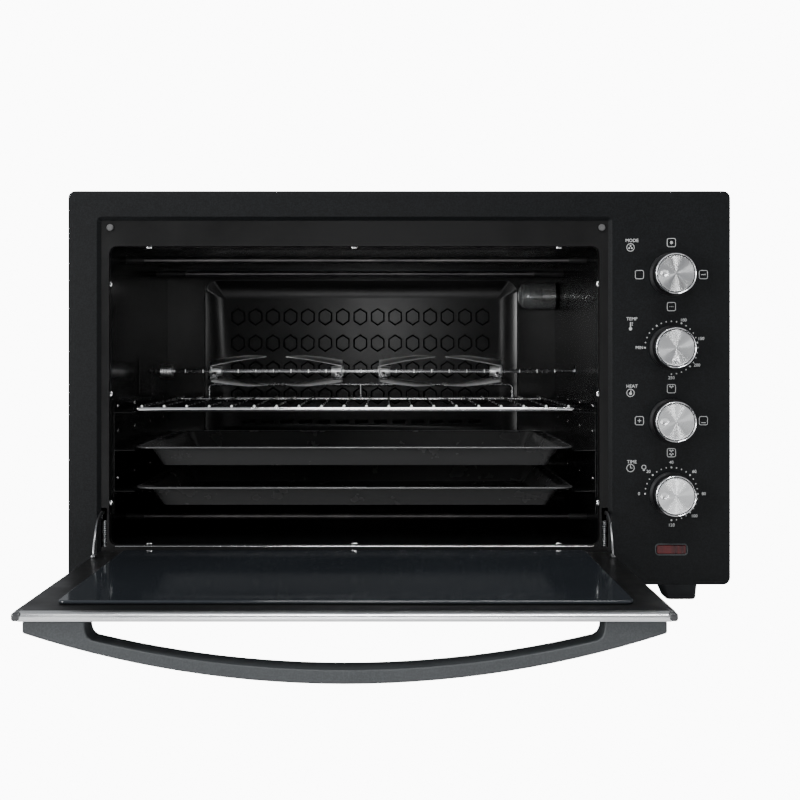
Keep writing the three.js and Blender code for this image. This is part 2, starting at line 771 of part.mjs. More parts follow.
function doorSpring(side) {
  const wire = 0.6;
  const coil = 3;
  const turns = 8;
  const [low, high] = [60, 88];
  const ring = [];
  for (let i = 0; i < 6; i += 1) {
    const angle = (i * Math.PI) / 3;
    ring.push(new THREE.Vector2(wire * Math.cos(angle), wire * Math.sin(angle)));
  }
  const helix = new THREE.ExtrudeGeometry(new THREE.Shape(ring), {
    steps: turns * 9,
    bevelEnabled: false,
    extrudePath: new Helix(coil, turns, high - low),
  });
  const tails = [
    rodZ(BODY_BOTTOM + SHEET + GAP - low, 0.4, coil, 0, wire, 6),
    rodZ(high - low - 0.4, 36, coil, 0, wire, 6),
  ];
  const spring = join(helix, ...tails);
  if (side < 0) {
    spring.rotateZ(Math.PI);
  }
  return spring.translate(hingeX(side), 12, low);
}

// ---------- controls and drives ----------
function knob(z) {
  const profile = [
    [0, -STEM_LENGTH],
    [STEM_RADIUS, -STEM_LENGTH],
    [STEM_RADIUS, 0.8],
    [KNOB_SKIRT, 0.8],
    [KNOB_SKIRT, 3],
    [KNOB_CAP - 0.6, 4.6],
    [KNOB_CAP - 1.2, KNOB_HEIGHT - 8],
    [KNOB_CAP, KNOB_HEIGHT - 7],
    [KNOB_CAP, KNOB_HEIGHT - 1.2],
    [KNOB_CAP - 1, KNOB_HEIGHT],
    [0, KNOB_HEIGHT],
  ];
  return turned(profile, 28).rotateX(Math.PI).translate(KNOB_X, 0, z);
}

function controlUnit(z, half, end) {
  const body = box(KNOB_X - half, KNOB_X + half, 2, end, z - half, z + half);
  return cut(body, rodY(1, STEM_LENGTH + 2, KNOB_X, z, STEM_RADIUS + 0.5, 12));
}

function indicatorLens() {
  const { halfX, halfZ, z } = LAMP_WINDOW;
  const grow = -0.4;
  const outline = { x0: KNOB_X - halfX, x1: KNOB_X + halfX, z0: z - halfZ, z1: z + halfZ, r: 1.6 };
  return plateY(roundedPoints(outline, grow, 3), -0.7, 9);
}

function convectionFan() {
  const { x, z, y, radius, blades } = FAN;
  const parts = [rodY(y, y + 12, x, z, 12, 16), rodY(y + 6, y + 34, x, z, 3, 10)];
  for (let i = 0; i < blades; i += 1) {
    const blade = box(8, radius, 1, 11, -0.8, 0.8).rotateX(0.3);
    parts.push(blade.rotateY((i * 2 * Math.PI) / blades).translate(x, y, z));
  }
  return join(...parts);
}

function fanMotor() {
  const { x, z, y } = FAN;
  const body = rodY(y + 19, y + 46, x, z, 27, 20);
  const strap = box(x - 45, x + 45, y + 19, y + 21, z - 9, z + 9);
  return cut(join(body, strap), rodY(y + 10, y + 36, x, z, 3.6, 10));
}

// ---------- assembly ----------
add('front_panel', frontPanel(), 'blackPanel');
add('door_seat_frame', doorSeat(), 'darkSheet');
add('outer_cover', outerCover(), 'blackPanel');
add('base_plate', basePlate(), 'darkSheet');
add('rear_panel', rearPanel(), 'darkSheet');
add('cord_gland', cordGland(), 'blackPlastic');
for (const [end, y] of [['front', FOOT_Y[0]], ['rear', FOOT_Y[1]]]) {
  add(`foot_${end}_left`, foot(-1, y), 'blackPlastic');
  add(`foot_${end}_right`, foot(1, y), 'blackPlastic');
}
for (const [side, x] of BUMPERS) {
  add(`door_bumper_${side}`, bumper(x), 'rubber');
}

const cavityX = [CAVITY.x0 - SHEET, CAVITY.x1 + SHEET];
const spitHole = rodX(CAVITY.x1 - 4, CAVITY.x1 + 4, SPIT_Y, SPIT_Z, 8, 16);
const lampHole = rodX(CAVITY.x1 - 4, CAVITY.x1 + 4, LAMP.y, LAMP.z, LAMP.radius + 0.6, 20);
add('cavity_floor', box(...cavityX, ...WALL_Y, CAVITY.z0 - SHEET, CAVITY.z0), 'enamel');
add('cavity_ceiling', box(...cavityX, ...WALL_Y, CAVITY.z1, CAVITY.z1 + SHEET), 'enamel');
add('cavity_left_wall', sideWall(CAVITY.x0 - SHEET / 2), 'enamel');
add('cavity_right_wall', sideWall(CAVITY.x1 + SHEET / 2, spitHole, lampHole), 'enamel');
add('cavity_back_wall', backWall(), 'enamel');
add('back_reflector', reflectorDish(), 'enamel');
add('shelf_runner_left', shelfRunner(-1), 'enamel');
add('shelf_runner_right', shelfRunner(1), 'enamel');
for (const [name, y, z] of HEATERS) {
  add(name, heater(y, z), 'steel');
}
add('lamp_glass', lampGlass(), 'clearGlass');
add('lamp_holder', lampHolder(), 'steel');

add('spit_rod', spitRod(), 'chrome');
add('spit_bracket', spitBracket(), 'steel');
add('rotisserie_motor', rotisserieMotor(), 'darkSheet');
for (const { name, x, points } of FORKS) {
  const carrier = new THREE.Group();
  carrier.position.set(x, SPIT_Y, SPIT_Z);
  carrier.rotation.set(FORK_ROLL, 0, points < 0 ? Math.PI : 0, 'XYZ');
  oven.add(carrier);
  const turn = (-points * Math.PI) / 2;
  carrier.add(add(`fork_${name}`, forkShape(turn), 'chrome'));
  carrier.add(add(`thumbscrew_${name}`, thumbscrewShape(turn), 'chrome'));
}

add('wire_rack', wireRack(), 'chrome');
add('tray_upper', tray(TRAY_RIMS[0]), 'enamel');
add('tray_lower', tray(TRAY_RIMS[1]), 'enamel');

add('door_outer_glass', doorOuterGlass(), 'glass');
add('door_frame', doorFrame(), 'darkSheet');
add('door_inner_glass', doorInnerGlass(), 'glass');
add('door_trim', doorTrim(), 'aluminium');
add('door_handle', doorHandle(), 'greyPlastic');
for (const [name, side] of [['left', -1], ['right', 1]]) {
  add(`hinge_arm_${name}`, hingeArm(side), 'steel');
  add(`door_spring_${name}`, doorSpring(side), 'steel');
}

const CONTROLS = [
  ['mode_knob', 'mode_switch', 21, 30],
  ['temperature_knob', 'thermostat', 19, 38],
  ['heat_knob', 'heat_switch', 21, 30],
  ['timer_knob', 'timer_unit', 27, 36],
];
CONTROLS.forEach(([name, unit, half, end], i) => {
  add(name, knob(KNOB_Z[i]), 'aluminium');
  add(unit, controlUnit(KNOB_Z[i], half, end), 'blackPlastic');
});
add('indicator_lens', indicatorLens(), 'red');

add('convection_fan', convectionFan(), 'aluminium');
add('fan_motor', fanMotor(), 'darkSheet');

export default oven;
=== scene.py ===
"""The looks of the rotisserie oven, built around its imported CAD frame."""
import json
import math

import bmesh
import bpy
from mathutils import Matrix, Vector


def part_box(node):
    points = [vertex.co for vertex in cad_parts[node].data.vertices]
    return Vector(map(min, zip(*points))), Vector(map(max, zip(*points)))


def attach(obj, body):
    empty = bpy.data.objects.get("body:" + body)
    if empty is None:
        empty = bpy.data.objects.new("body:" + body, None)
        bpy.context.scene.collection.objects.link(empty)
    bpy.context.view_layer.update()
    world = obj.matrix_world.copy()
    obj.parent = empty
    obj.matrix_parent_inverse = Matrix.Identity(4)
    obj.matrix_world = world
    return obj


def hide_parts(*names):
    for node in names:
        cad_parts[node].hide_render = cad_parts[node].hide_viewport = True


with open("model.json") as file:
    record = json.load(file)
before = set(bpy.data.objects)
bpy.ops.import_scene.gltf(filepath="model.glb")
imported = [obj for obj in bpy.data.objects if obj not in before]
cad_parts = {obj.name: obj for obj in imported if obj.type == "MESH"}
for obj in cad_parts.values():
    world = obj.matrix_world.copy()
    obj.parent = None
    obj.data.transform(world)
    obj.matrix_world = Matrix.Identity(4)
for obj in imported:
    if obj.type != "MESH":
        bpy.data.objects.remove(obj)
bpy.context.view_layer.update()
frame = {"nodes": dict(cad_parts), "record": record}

NODES = frame["nodes"]
RECORD = frame["record"]
BODY_OF = {node: body for body, nodes in RECORD["behaviour"]["bodies"].items() for node in nodes}
SLOT_OF = {row["node"]: row["material_slot"] for row in RECORD["subparts"]}
MM = 0.001


def low(node):
    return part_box(node)[0]


def high(node):
    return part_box(node)[1]


def centre(node):
    return (low(node) + high(node)) / 2


# ---------- the places that the rest is worked out from ----------
FRONT = low("front_panel").y  # the face of the front panel
CAVITY_LEFT = high("cavity_left_wall").x
CAVITY_RIGHT = low("cavity_right_wall").x
CAVITY_FLOOR = high("cavity_floor").z
CAVITY_CEILING = low("cavity_ceiling").z
CAVITY_MID = (CAVITY_LEFT + CAVITY_RIGHT) / 2
SPIT = centre("spit_rod")
KNOBS = ("mode_knob", "temperature_knob", "heat_knob", "timer_knob")


# ---------- mesh helpers ----------
def new_object(name, mesh):
    obj = bpy.data.objects.new(name, mesh)
    bpy.context.scene.collection.objects.link(obj)
    return obj


def object_from(bm, name):
    """A new object from a bmesh, with its faces turned outwards."""
    bmesh.ops.recalc_face_normals(bm, faces=bm.faces)
    mesh = bpy.data.meshes.new(name)
    bm.to_mesh(mesh)
    bm.free()
    return new_object(name, mesh)


def smooth(obj, angle=32):
    obj.data.shade_smooth()
    obj.data.set_sharp_from_angle(angle=math.radians(angle))
    return obj


def level_normals(obj):
    """Keeps the shading of large flat faces flat beside their rounded edges."""
    modifier = obj.modifiers.new("normals", "WEIGHTED_NORMAL")
    modifier.weight = 100
    modifier.keep_sharp = True
    return apply_modifiers(obj)


def evaluated_mesh(obj):
    bpy.context.view_layer.update()
    evaluated = obj.evaluated_get(bpy.context.evaluated_depsgraph_get())
    return bpy.data.meshes.new_from_object(evaluated)


def apply_modifiers(obj):
    """Replaces the object's mesh by its evaluated one."""
    mesh = evaluated_mesh(obj)
    obj.modifiers.clear()
    obj.data = mesh
    return obj


def bevel(obj, width, segments, angle=30):
    """Rounds every edge sharper than the angle. The width is in millimetres."""
    modifier = obj.modifiers.new("bevel", "BEVEL")
    modifier.width = width * MM
    modifier.segments = segments
    modifier.limit_method = "ANGLE"
    modifier.angle_limit = math.radians(angle)
    return apply_modifiers(obj)


def ring_faces(bm, first, second):
    count = len(first)
    for i in range(count):
        j = (i + 1) % count
        bm.faces.new((first[i], first[j], second[j], second[i]))


def add_loft(bm, rings, closed=False):
    """Skins rings of points one after another. An open loft is capped at both ends."""
    rows = [[bm.verts.new(p) for p in ring] for ring in rings]
    for first, second in zip(rows, rows[1:]):
        ring_faces(bm, first, second)
    if closed:
        ring_faces(bm, rows[-1], rows[0])
    else:
        bm.faces.new(rows[0])
        bm.faces.new(rows[-1])


def add_tube(bm, points, radius, sides=14, closed=False):
    """A round bar along a line of points, its section carried along without twist."""
    points = [Vector(p) for p in points]
    count = len(points)
    rings = []
    normal = None
    for i, point in enumerate(points):
        before = points[i - 1] if i or closed else point
        after = points[(i + 1) % count] if i < count - 1 or closed else point
        tangent = (after - before).normalized()
        if normal is None:
            normal = tangent.orthogonal()
        normal = (normal - tangent * normal.dot(tangent)).normalized()
        side = tangent.cross(normal)
        rings.append([
            point + (normal * math.cos(a) + side * math.sin(a)) * radius
            for a in (2 * math.pi * k / sides for k in range(sides))
        ])
    add_loft(bm, rings, closed)


def turned_rings(profile, origin, axis, steps):
    """Rings of points for a [radius, height] profile turned about an axis."""
    axis = Vector(axis).normalized()
    across = axis.orthogonal().normalized()
    if abs(axis.z) < 0.9:
        across = Vector((0, 0, 1))
    side = axis.cross(across)
    rings = []
    for radius, height in profile:
        ring = []
        for k in range(steps):
            angle = 2 * math.pi * k / steps
            spoke = across * math.cos(angle) + side * math.sin(angle)
            ring.append(Vector(origin) + axis * height * MM + spoke * radius * MM)
        rings.append(ring)
    return rings


def add_turned(bm, profile, origin, axis, steps):
    """A lathe-turned solid. A profile that starts and ends off the axis gets flat ends."""
    add_loft(bm, turned_rings(profile, origin, axis, steps))


def add_box(bm, lowest, highest, matrix=None):
    x0, y0, z0 = lowest
    x1, y1, z1 = highest
    first = [Vector(p) for p in ((x0, y0, z0), (x1, y0, z0), (x1, y1, z0), (x0, y1, z0))]
    second = [p + Vector((0, 0, z1 - z0)) for p in first]
    if matrix is not None:
        first, second = [[matrix @ p for p in ring] for ring in (first, second)]
    add_loft(bm, [first, second])


def arc(u, v, radius, start, end, steps):
    """Points of an arc about (u, v), between two angles in degrees."""
    angles = [math.radians(start + (end - start) * i / steps) for i in range(steps + 1)]
    return [(u + radius * math.cos(a), v + radius * math.sin(a)) for a in angles]


def rounded_outline(u0, u1, v0, v1, inset, radius, steps=8):
    """A rectangle's outline with an arc at each corner, centred at an inset from both sides."""
    points = []
    for u, v, start in ((u1 - inset, v1 - inset, 0), (u0 + inset, v1 - inset, 90),
                        (u0 + inset, v0 + inset, 180), (u1 - inset, v0 + inset, 270)):
        points += arc(u, v, radius, start, start + 90, steps)
    return points


# ---------- material helpers ----------
FINISHES = {}


def set_inputs(tree, node, inputs):
    """Sets a node's inputs by name: a socket is linked, and anything else is a plain value."""
    for name, value in inputs.items():
        socket = node.inputs[name.replace("_", " ")]
        if isinstance(value, bpy.types.NodeSocket):
            tree.links.new(value, socket)
        else:
            socket.default_value = value


def add_node(tree, kind, settings=None, **inputs):
    node = tree.nodes.new("ShaderNode" + kind)
    for name, value in (settings or {}).items():
        setattr(node, name, value)
    set_inputs(tree, node, inputs)
    return node


def map_range(tree, value, low_in, high_in, low_out=0.0, high_out=1.0):
    node = add_node(
        tree, "MapRange", Value=value, From_Min=low_in, From_Max=high_in, To_Min=low_out, To_Max=high_out
    )
    return node.outputs["Result"]


# The material's own name, where it differs from the finish's.
OWN_NAMES = {
    "front_black": "panel_paint",
    "case_black": "case_paint",
    "tray_bead": "bead_enamel",
    "chrome_wire": "chrome",
    "door_glass": "black_glass",
    "lamp_glass": "lamp_clear",
    "knob_metal": "knob_aluminium",
    "trim_cap": "trim_cap_plastic",
    "lamp_red": "red_lens",
}


class Finish:
    """A node material around one Principled shader. A texture is a socket or a noise's (scale, detail)."""

    def __init__(self, name, colour, roughness, metallic=0.0, **sockets):
        self.material = FINISHES[name] = bpy.data.materials.new(OWN_NAMES.get(name, name))
        self.material.use_nodes = True
        self.tree = self.material.node_tree
        self.shader = self.tree.nodes["Principled BSDF"]
        self.colour = (*colour, 1.0)
        self.set(Base_Color=self.colour, Roughness=roughness, Metallic=metallic, **sockets)
        self.coordinates = add_node(self.tree, "TexCoord").outputs["Object"]
        self.relief = {}

    def set(self, **inputs):
        set_inputs(self.tree, self.shader, inputs)

    def stretch(self, scale):
        """Coordinates scaled along each axis, for a grain with a direction."""
        return add_node(self.tree, "Mapping", Vector=self.coordinates, Scale=scale).outputs["Vector"]

    def noise(self, scale, detail=3.0, roughness=0.5, vector=None):
        vector = vector or self.coordinates
        node = add_node(self.tree, "TexNoise", Vector=vector, Scale=scale, Detail=detail, Roughness=roughness)
        return node.outputs["Fac"]

    def voronoi(self, scale):
        return add_node(self.tree, "TexVoronoi", Vector=self.coordinates, Scale=scale).outputs["Distance"]

    def value_of(self, texture):
        return self.noise(*texture) if isinstance(texture, tuple) else texture

    def vary_roughness(self, texture, low_out, high_out, low_in=0.3, high_in=0.7):
        self.set(Roughness=map_range(self.tree, self.value_of(texture), low_in, high_in, low_out, high_out))

    def vary_colour(self, texture, other, low_in=0.35, high_in=0.65):
        share = map_range(self.tree, self.value_of(texture), low_in, high_in)
        mix = add_node(self.tree, "Mix", {"data_type": "RGBA"}, Factor=share, A=self.colour, B=(*other, 1.0))
        self.set(Base_Color=mix.outputs["Result"])

    def bump(self, texture, distance, strength):
        """Relief from a texture, one on top of another. The distance is in millimetres."""
        inputs = {"Height": self.value_of(texture), "Distance": distance * MM, "Strength": strength}
        node = add_node(self.tree, "Bump", **inputs, **self.relief)
        self.relief = {"Normal": node.outputs["Normal"]}
        self.set(**self.relief)


# ---------- finishes ----------
# Satin black paint with a fine orange-peel grain.
finish = Finish("front_black", (0.0016, 0.0019, 0.0022), 0.42, 0.0, Specular_IOR_Level=0.15)
finish.vary_colour((800, 2), (0.0040, 0.0048, 0.0055), 0.40, 0.62)
finish.vary_roughness((9, 4), 0.42, 0.5)
finish.bump((800, 2), 0.12, 0.5)
finish.bump((260, 2), 0.05, 0.1)

# Black powder coat with a coarser grain than the front.
finish = Finish("case_black", (0.0030, 0.0033, 0.0036), 0.5, 0.0, Specular_IOR_Level=0.3)
finish.vary_colour((800, 3), (0.0055, 0.006, 0.0065), 0.4, 0.65)
finish.vary_roughness((7, 4), 0.46, 0.58)
finish.bump((800, 3), 0.09, 0.5)

# The semi-gloss dark grey of the door's seat.
finish = Finish("seat_enamel", (0.0058, 0.0058, 0.0059), 0.36, 0.0, Specular_IOR_Level=0.14)
finish.vary_roughness((24, 4), 0.28, 0.42)
finish.bump((500, 3), 0.04, 0.2)

# Dark speckled oven enamel, slightly uneven as it flows.
finish = Finish("cavity_enamel", (0.0022, 0.0023, 0.0024), 0.2, 0.0, Specular_IOR_Level=0.2)
finish.vary_colour((700, 2), (0.0045, 0.0047, 0.0050), 0.6, 0.75)
finish.vary_roughness((30, 5), 0.2, 0.23)
finish.bump((320, 3), 0.02, 0.08)

# The dead black of the narrow embossed outlines: painted shade along the embossing.
finish = Finish("painted_shade_enamel", (0.0008, 0.0008, 0.0008), 0.6, 0.0, Specular_IOR_Level=0.1)
finish.vary_roughness((60, 4), 0.55, 0.7)
finish.bump((500, 3), 0.03, 0.2)

# The trays' grey-black enamel.
finish = Finish("tray_enamel", (0.040, 0.0402, 0.0406), 0.26, 0.0)
finish.vary_colour((620, 2), (0.044, 0.0442, 0.0446), 0.6, 0.74)
finish.vary_roughness((35, 4), 0.25, 0.28)
finish.bump((300, 3), 0.02, 0.15)

# The tray's enamel where it is thin and bright over the rolled rim.
finish = Finish("tray_bead", (0.09, 0.09, 0.092), 0.18, 0.3)
finish.vary_roughness((60, 4), 0.14, 0.26)
finish.bump((300, 3), 0.03, 0.2)

# Bright plating with faint draw marks and a little haze.
finish = Finish("chrome_wire", (0.80, 0.80, 0.81), 0.12, 1.0)
finish.vary_roughness((160, 5), 0.07, 0.22)
finish.vary_colour((60, 4), (0.70, 0.695, 0.69))
finish.bump((700, 2), 0.02, 0.15)

# Plated steel of the thumbscrews, darkened as painted shade, with darker patches at random.
finish = Finish("chrome_painted_shade", (0.50, 0.50, 0.505), 0.16, 1.0)
finish.vary_roughness((220, 5), 0.1, 0.3)
finish.vary_colour((140, 4), (0.26, 0.26, 0.265))
finish.bump((700, 2), 0.03, 0.2)

# Satin plating of the forks, the collar and the rack's wire ends, and of the bright bands on the spit that
# are painted highlights of its notches.
finish = Finish("rack_wire", (0.82, 0.82, 0.82), 0.36, 1.0)
finish.vary_roughness((200, 4), 0.3, 0.42)
finish.bump((900, 2), 0.02, 0.15)

# Dark polished steel of the spit and the rack's wires, its colour darkened as painted shade.
finish = Finish("spit_steel_painted_shade", (0.26, 0.26, 0.265), 0.2, 1.0)
finish.vary_roughness((220, 5), 0.14, 0.32)
finish.bump((700, 2), 0.03, 0.2)

# Blackened spring steel of the hinges.
finish = Finish("dark_steel", (0.34, 0.345, 0.35), 0.3, 1.0)
finish.vary_roughness((180, 4), 0.24, 0.42)
finish.vary_colour((90, 4), (0.22, 0.22, 0.225))
finish.bump((600, 3), 0.02, 0.2)

# Stainless tube, slightly blued and dulled by heat.
finish = Finish("heater_sheath", (0.115, 0.112, 0.11), 0.36, 1.0)
finish.vary_colour((26, 5), (0.07, 0.068, 0.07))
finish.vary_roughness((120, 4), 0.3, 0.5)
finish.bump((900, 3), 0.02, 0.2)

# Zinc-plated sheet with its spangle.
finish = Finish("bare_steel", (0.50, 0.51, 0.52), 0.34, 1.0)
finish.vary_colour(finish.voronoi(120), (0.38, 0.39, 0.40), 0.2, 0.8)
finish.vary_roughness((150, 4), 0.26, 0.46)
finish.bump((500, 3), 0.02, 0.2)

# Anodised profile, brushed along its length.
finish = Finish("trim_aluminium", (0.80, 0.81, 0.82), 0.26, 1.0, Anisotropic=0.4)
brushed = (900, 4, 0.6, finish.stretch((0.02, 1.0, 1.0)))
finish.vary_roughness(brushed, 0.2, 0.36)
finish.vary_colour((12, 3), (0.70, 0.71, 0.72))
finish.bump(brushed, 0.015, 0.3)

# Spun aluminium: fine grooves around the middle of each cap.
finish = Finish("knob_metal", (0.90, 0.905, 0.91), 0.24, 1.0, Anisotropic=0.98)
radial = add_node(finish.tree, "Tangent", {"direction_type": "RADIAL", "axis": "Y"})
finish.set(Tangent=radial.outputs["Tangent"])
grooves = add_node(
    finish.tree, "TexWave", {"wave_type": "RINGS", "rings_direction": "Y"},
    Vector=finish.coordinates, Scale=520, Distortion=1.5, Detail=2,
)
finish.vary_roughness(grooves.outputs["Fac"], 0.22, 0.26, 0, 1)
finish.bump(grooves.outputs["Fac"], 0.003, 0.08)

# Polished rims of the knobs.
finish = Finish("polished_rim", (0.88, 0.88, 0.89), 0.06, 1.0)
finish.vary_roughness((400, 3), 0.04, 0.1)
finish.bump((600, 2), 0.01, 0.1)

# Matte charcoal moulding with a spark-eroded grain.
finish = Finish("handle_plastic", (0.026, 0.029, 0.031), 0.5, 0.0, Specular_IOR_Level=0.4)
finish.vary_colour((800, 3), (0.038, 0.042, 0.045), 0.4, 0.65)
finish.vary_roughness((18, 4), 0.5, 0.62)
finish.bump((1300, 3), 0.06, 0.4)

# Glossy grey moulding, lighter than the handle.
finish = Finish("trim_cap", (0.032, 0.033, 0.035), 0.22, 0.0)
finish.vary_roughness((60, 4), 0.18, 0.3)
finish.bump((900, 3), 0.03, 0.2)

# Satin black mouldings.
finish = Finish("black_plastic", (0.0035, 0.0035, 0.0038), 0.34, 0.0, Specular_IOR_Level=0.4)
finish.vary_roughness((60, 4), 0.3, 0.44)
finish.bump((1200, 3), 0.04, 0.3)

# Tinted toughened glass, almost black, with a faint smear of handling.
finish = Finish("door_glass", (0.0035, 0.004, 0.0045), 0.05, 0.0, IOR=1.5)
finish.vary_roughness((6, 5, 0.6), 0.03, 0.09)
finish.vary_colour((4, 3), (0.005, 0.0056, 0.0062))
finish.bump((14, 2), 0.02, 0.05)

# The raised inner pane: the same glass with a bluish grey colour, made lighter as painted reflection of the
# light around it.
finish = Finish("pane_glass_painted_reflection", (0.0155, 0.0180, 0.0215), 0.06, 0.0, IOR=1.5)
finish.vary_roughness((5, 5, 0.6), 0.05, 0.12)
finish.vary_colour((3, 3), (0.0200, 0.0235, 0.0280))
finish.bump((11, 2), 0.02, 0.05)

# Clear moulded glass of the lamp cover.
finish = Finish("lamp_glass", (0.93, 0.95, 0.95), 0.03, 0.0, IOR=1.47, Transmission_Weight=0.95)
finish.vary_roughness((80, 3), 0.02, 0.06)
finish.bump((60, 2), 0.1, 0.2)

# Grey rubber of the bumpers.
finish = Finish("grey_rubber", (0.05, 0.05, 0.051), 0.75, 0.0)
finish.vary_colour((500, 3), (0.065, 0.065, 0.065))
finish.bump((900, 3), 0.05, 0.4)

# Hard plastic of the feet.
finish = Finish("foot_plastic", (0.0300, 0.0320, 0.0350), 0.5, 0.0, Specular_IOR_Level=0.3)
finish.vary_roughness((50, 3), 0.44, 0.58)
finish.bump((900, 3), 0.06, 0.4)

# Red pilot lens with fine ribs moulded inside.
finish = Finish("lamp_red", (0.060, 0.005, 0.006), 0.2, 0.0, Specular_IOR_Level=0.4)
finish.vary_colour((200, 2, 0.5, finish.stretch((1.0, 0.1, 0.1))), (0.026, 0.003, 0.004))
finish.bump((400, 2), 0.03, 0.2)

# Pale screen-printed ink.
finish = Finish("print_white", (0.50, 0.51, 0.51), 0.55, 0.0)
finish.vary_colour((1500, 2), (0.36, 0.37, 0.37), 0.45, 0.7)
finish.bump((1500, 2), 0.01, 0.2)

# Blackened bushes and cold ends of the heaters.
finish = Finish("ceramic", (0.007, 0.007, 0.007), 0.6, 0.0, Specular_IOR_Level=0.3)
finish.vary_colour((220, 4), (0.004, 0.004, 0.004))
finish.bump((700, 3), 0.05, 0.4)


def dress(obj, finish, body, replaces=()):
    """Gives a piece its material, its body and its place in the table."""
    obj.data.materials.clear()
    obj.data.materials.append(FINISHES[finish])
    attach(obj, body)
    if replaces:
        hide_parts(*replaces)
    return obj


def refined(node, width, segments, finish):
    """A piece with a CAD node's exact shape, its edges rounded, which stands for that node."""
    bm = bmesh.new()
    bm.from_mesh(NODES[node].data)
    bmesh.ops.remove_doubles(bm, verts=bm.verts, dist=1e-6)
    bmesh.ops.dissolve_limit(bm, angle_limit=math.radians(1), verts=bm.verts, edges=bm.edges)
    piece = level_normals(smooth(bevel(object_from(bm, node + "_skin"), width, segments)))
    slot = SLOT_OF[node]
    return dress(piece, finish or slot, BODY_OF[node], [node])


# CAD nodes that keep their own mesh take the material of their slot.
for node, obj in NODES.items():
    obj.data.materials.clear()
    obj.data.materials.append(FINISHES[SLOT_OF[node]])
    smooth(obj)


# ---------- housing ----------
REFINED = (
    ("front_panel", 1.1, 3, None),
    ("door_seat_frame outer_cover", 0.3, 1, None),
    ("base_plate rear_panel", 0.3, 1, "case_black"),
    ("cord_gland", 0.8, 2, None),
    ("foot_front_left foot_front_right foot_rear_left foot_rear_right", 2.2, 3, "foot_plastic"),
    ("door_bumper_left door_bumper_right", 0.4, 2, None),
    ("cavity_floor cavity_ceiling cavity_left_wall cavity_right_wall", 0.2, 1, None),
    ("cavity_back_wall", 0.4, 2, None),
    ("back_reflector", 1.2, 3, None),
    ("shelf_runner_left shelf_runner_right", 0.25, 1, None),
    ("lamp_glass", 0.3, 2, None),
    ("lamp_holder spit_bracket", 0.3, 2, "cavity_enamel"),
    ("rotisserie_motor", 0.6, 2, "bare_steel"),
    ("tray_upper tray_lower", 0.35, 2, None),
    ("door_outer_glass", 0.8, 2, None),
    ("door_frame", 0.4, 2, None),
    # the inner pane's lighter bluish grey is painted reflection
    ("door_inner_glass", 1.2, 3, "pane_glass_painted_reflection"),
    ("door_handle", 1.5, 4, None),
    ("mode_switch thermostat heat_switch timer_unit", 0.8, 2, None),
    ("indicator_lens", 0.5, 3, None),
    ("convection_fan", 0.25, 1, None),
    ("fan_motor", 0.6, 2, "bare_steel"),
)
for names, width, segments, finish in REFINED:
    for node in names.split():
        refined(node, width, segments, finish)


def screw_heads(name, places, axis, radius, finish="bare_steel"):
    """Pan-head screws with a cross slot, each at a point on a face, heads along the axis."""
    bm = bmesh.new()
    axis = Vector(axis)
    along = axis.orthogonal().normalized()
    across = axis.cross(along)
    for place in places:
        profile = [(radius * 0.55, -0.4), (radius, 0.0), (radius, 0.5), (radius * 0.86, 1.2),
                   (radius * 0.55, 1.7), (radius * 0.3, 1.85)]
        add_turned(bm, profile, place, axis, 20)
        for first, second in ((along, across), (across, along)):
            turn = Matrix((first, second, axis)).transposed().to_4x4()
            turn.translation = Vector(place) + axis * 1.5 * MM
            add_box(
                bm,
                (-radius * 0.62 * MM, -radius * 0.11 * MM, 0),
                (radius * 0.62 * MM, radius * 0.11 * MM, 0.45 * MM),
                turn,
            )
    return dress(smooth(object_from(bm, name)), finish, "housing")


def spring_clips():
    """Small plated clips that hold the seat's collar around the mouth of the cavity."""
    bm = bmesh.new()
    y = (FRONT + 5.2 * MM, FRONT + 12.4 * MM)
    for height in (42.5, 151.8, 262.2):
        z = CAVITY_FLOOR + height * MM
        for wall, side in ((CAVITY_LEFT, 1), (CAVITY_RIGHT, -1)):
            x = sorted((wall - side * 0.4 * MM, wall + side * 2.6 * MM))
            add_box(bm, (x[0], y[0], z - 2.6 * MM), (x[1], y[1], z + 2.6 * MM))
    for across in (-205.8, 0, 205.4):
        x = CAVITY_MID + across * MM
        for wall, side in ((CAVITY_FLOOR, 1), (CAVITY_CEILING, -1)):
            z = sorted((wall - side * 0.4 * MM, wall + side * 2.4 * MM))
            add_box(bm, (x - 2.8 * MM, y[0], z[0]), (x + 2.8 * MM, y[1], z[1]))
    piece = smooth(bevel(object_from(bm, "mouth_clips"), 0.8, 3))
    return dress(piece, "chrome_wire", "housing")


def mouth_lip():
    """The bright rolled edge along the bottom of the cavity's mouth."""
    bm = bmesh.new()
    z = CAVITY_FLOOR - 0.9 * MM
    line = [(CAVITY_LEFT + 6 * MM, FRONT + 3.4 * MM, z), (CAVITY_RIGHT - 6 * MM, FRONT + 3.4 * MM, z)]
    add_tube(bm, line, 0.55 * MM, 12)
    return dress(smooth(object_from(bm, "mouth_lip"), 60), "chrome_wire", "housing")


def runner_rivets():
    """Rivets that hold the shelf runners to the side walls."""
    bm = bmesh.new()
    profile = [(2.4, -0.2), (2.4, 0.3), (1.9, 0.8), (1.1, 1.1), (0.3, 1.2)]
    for node, side in (("shelf_runner_left", 1), ("shelf_runner_right", -1)):
        lowest, highest = low(node), high(node)
        x = lowest.x + MM if side > 0 else highest.x - MM
        for share in (0.06, 0.35, 0.65, 0.94):
            y = lowest.y + (highest.y - lowest.y) * share
            for height in (64, 113, 138):
                point = (x, y, CAVITY_FLOOR + height * MM)
                add_turned(bm, profile, point, (side, 0, 0), 16)
    return dress(smooth(object_from(bm, "runner_rivets")), "chrome_wire", "housing")


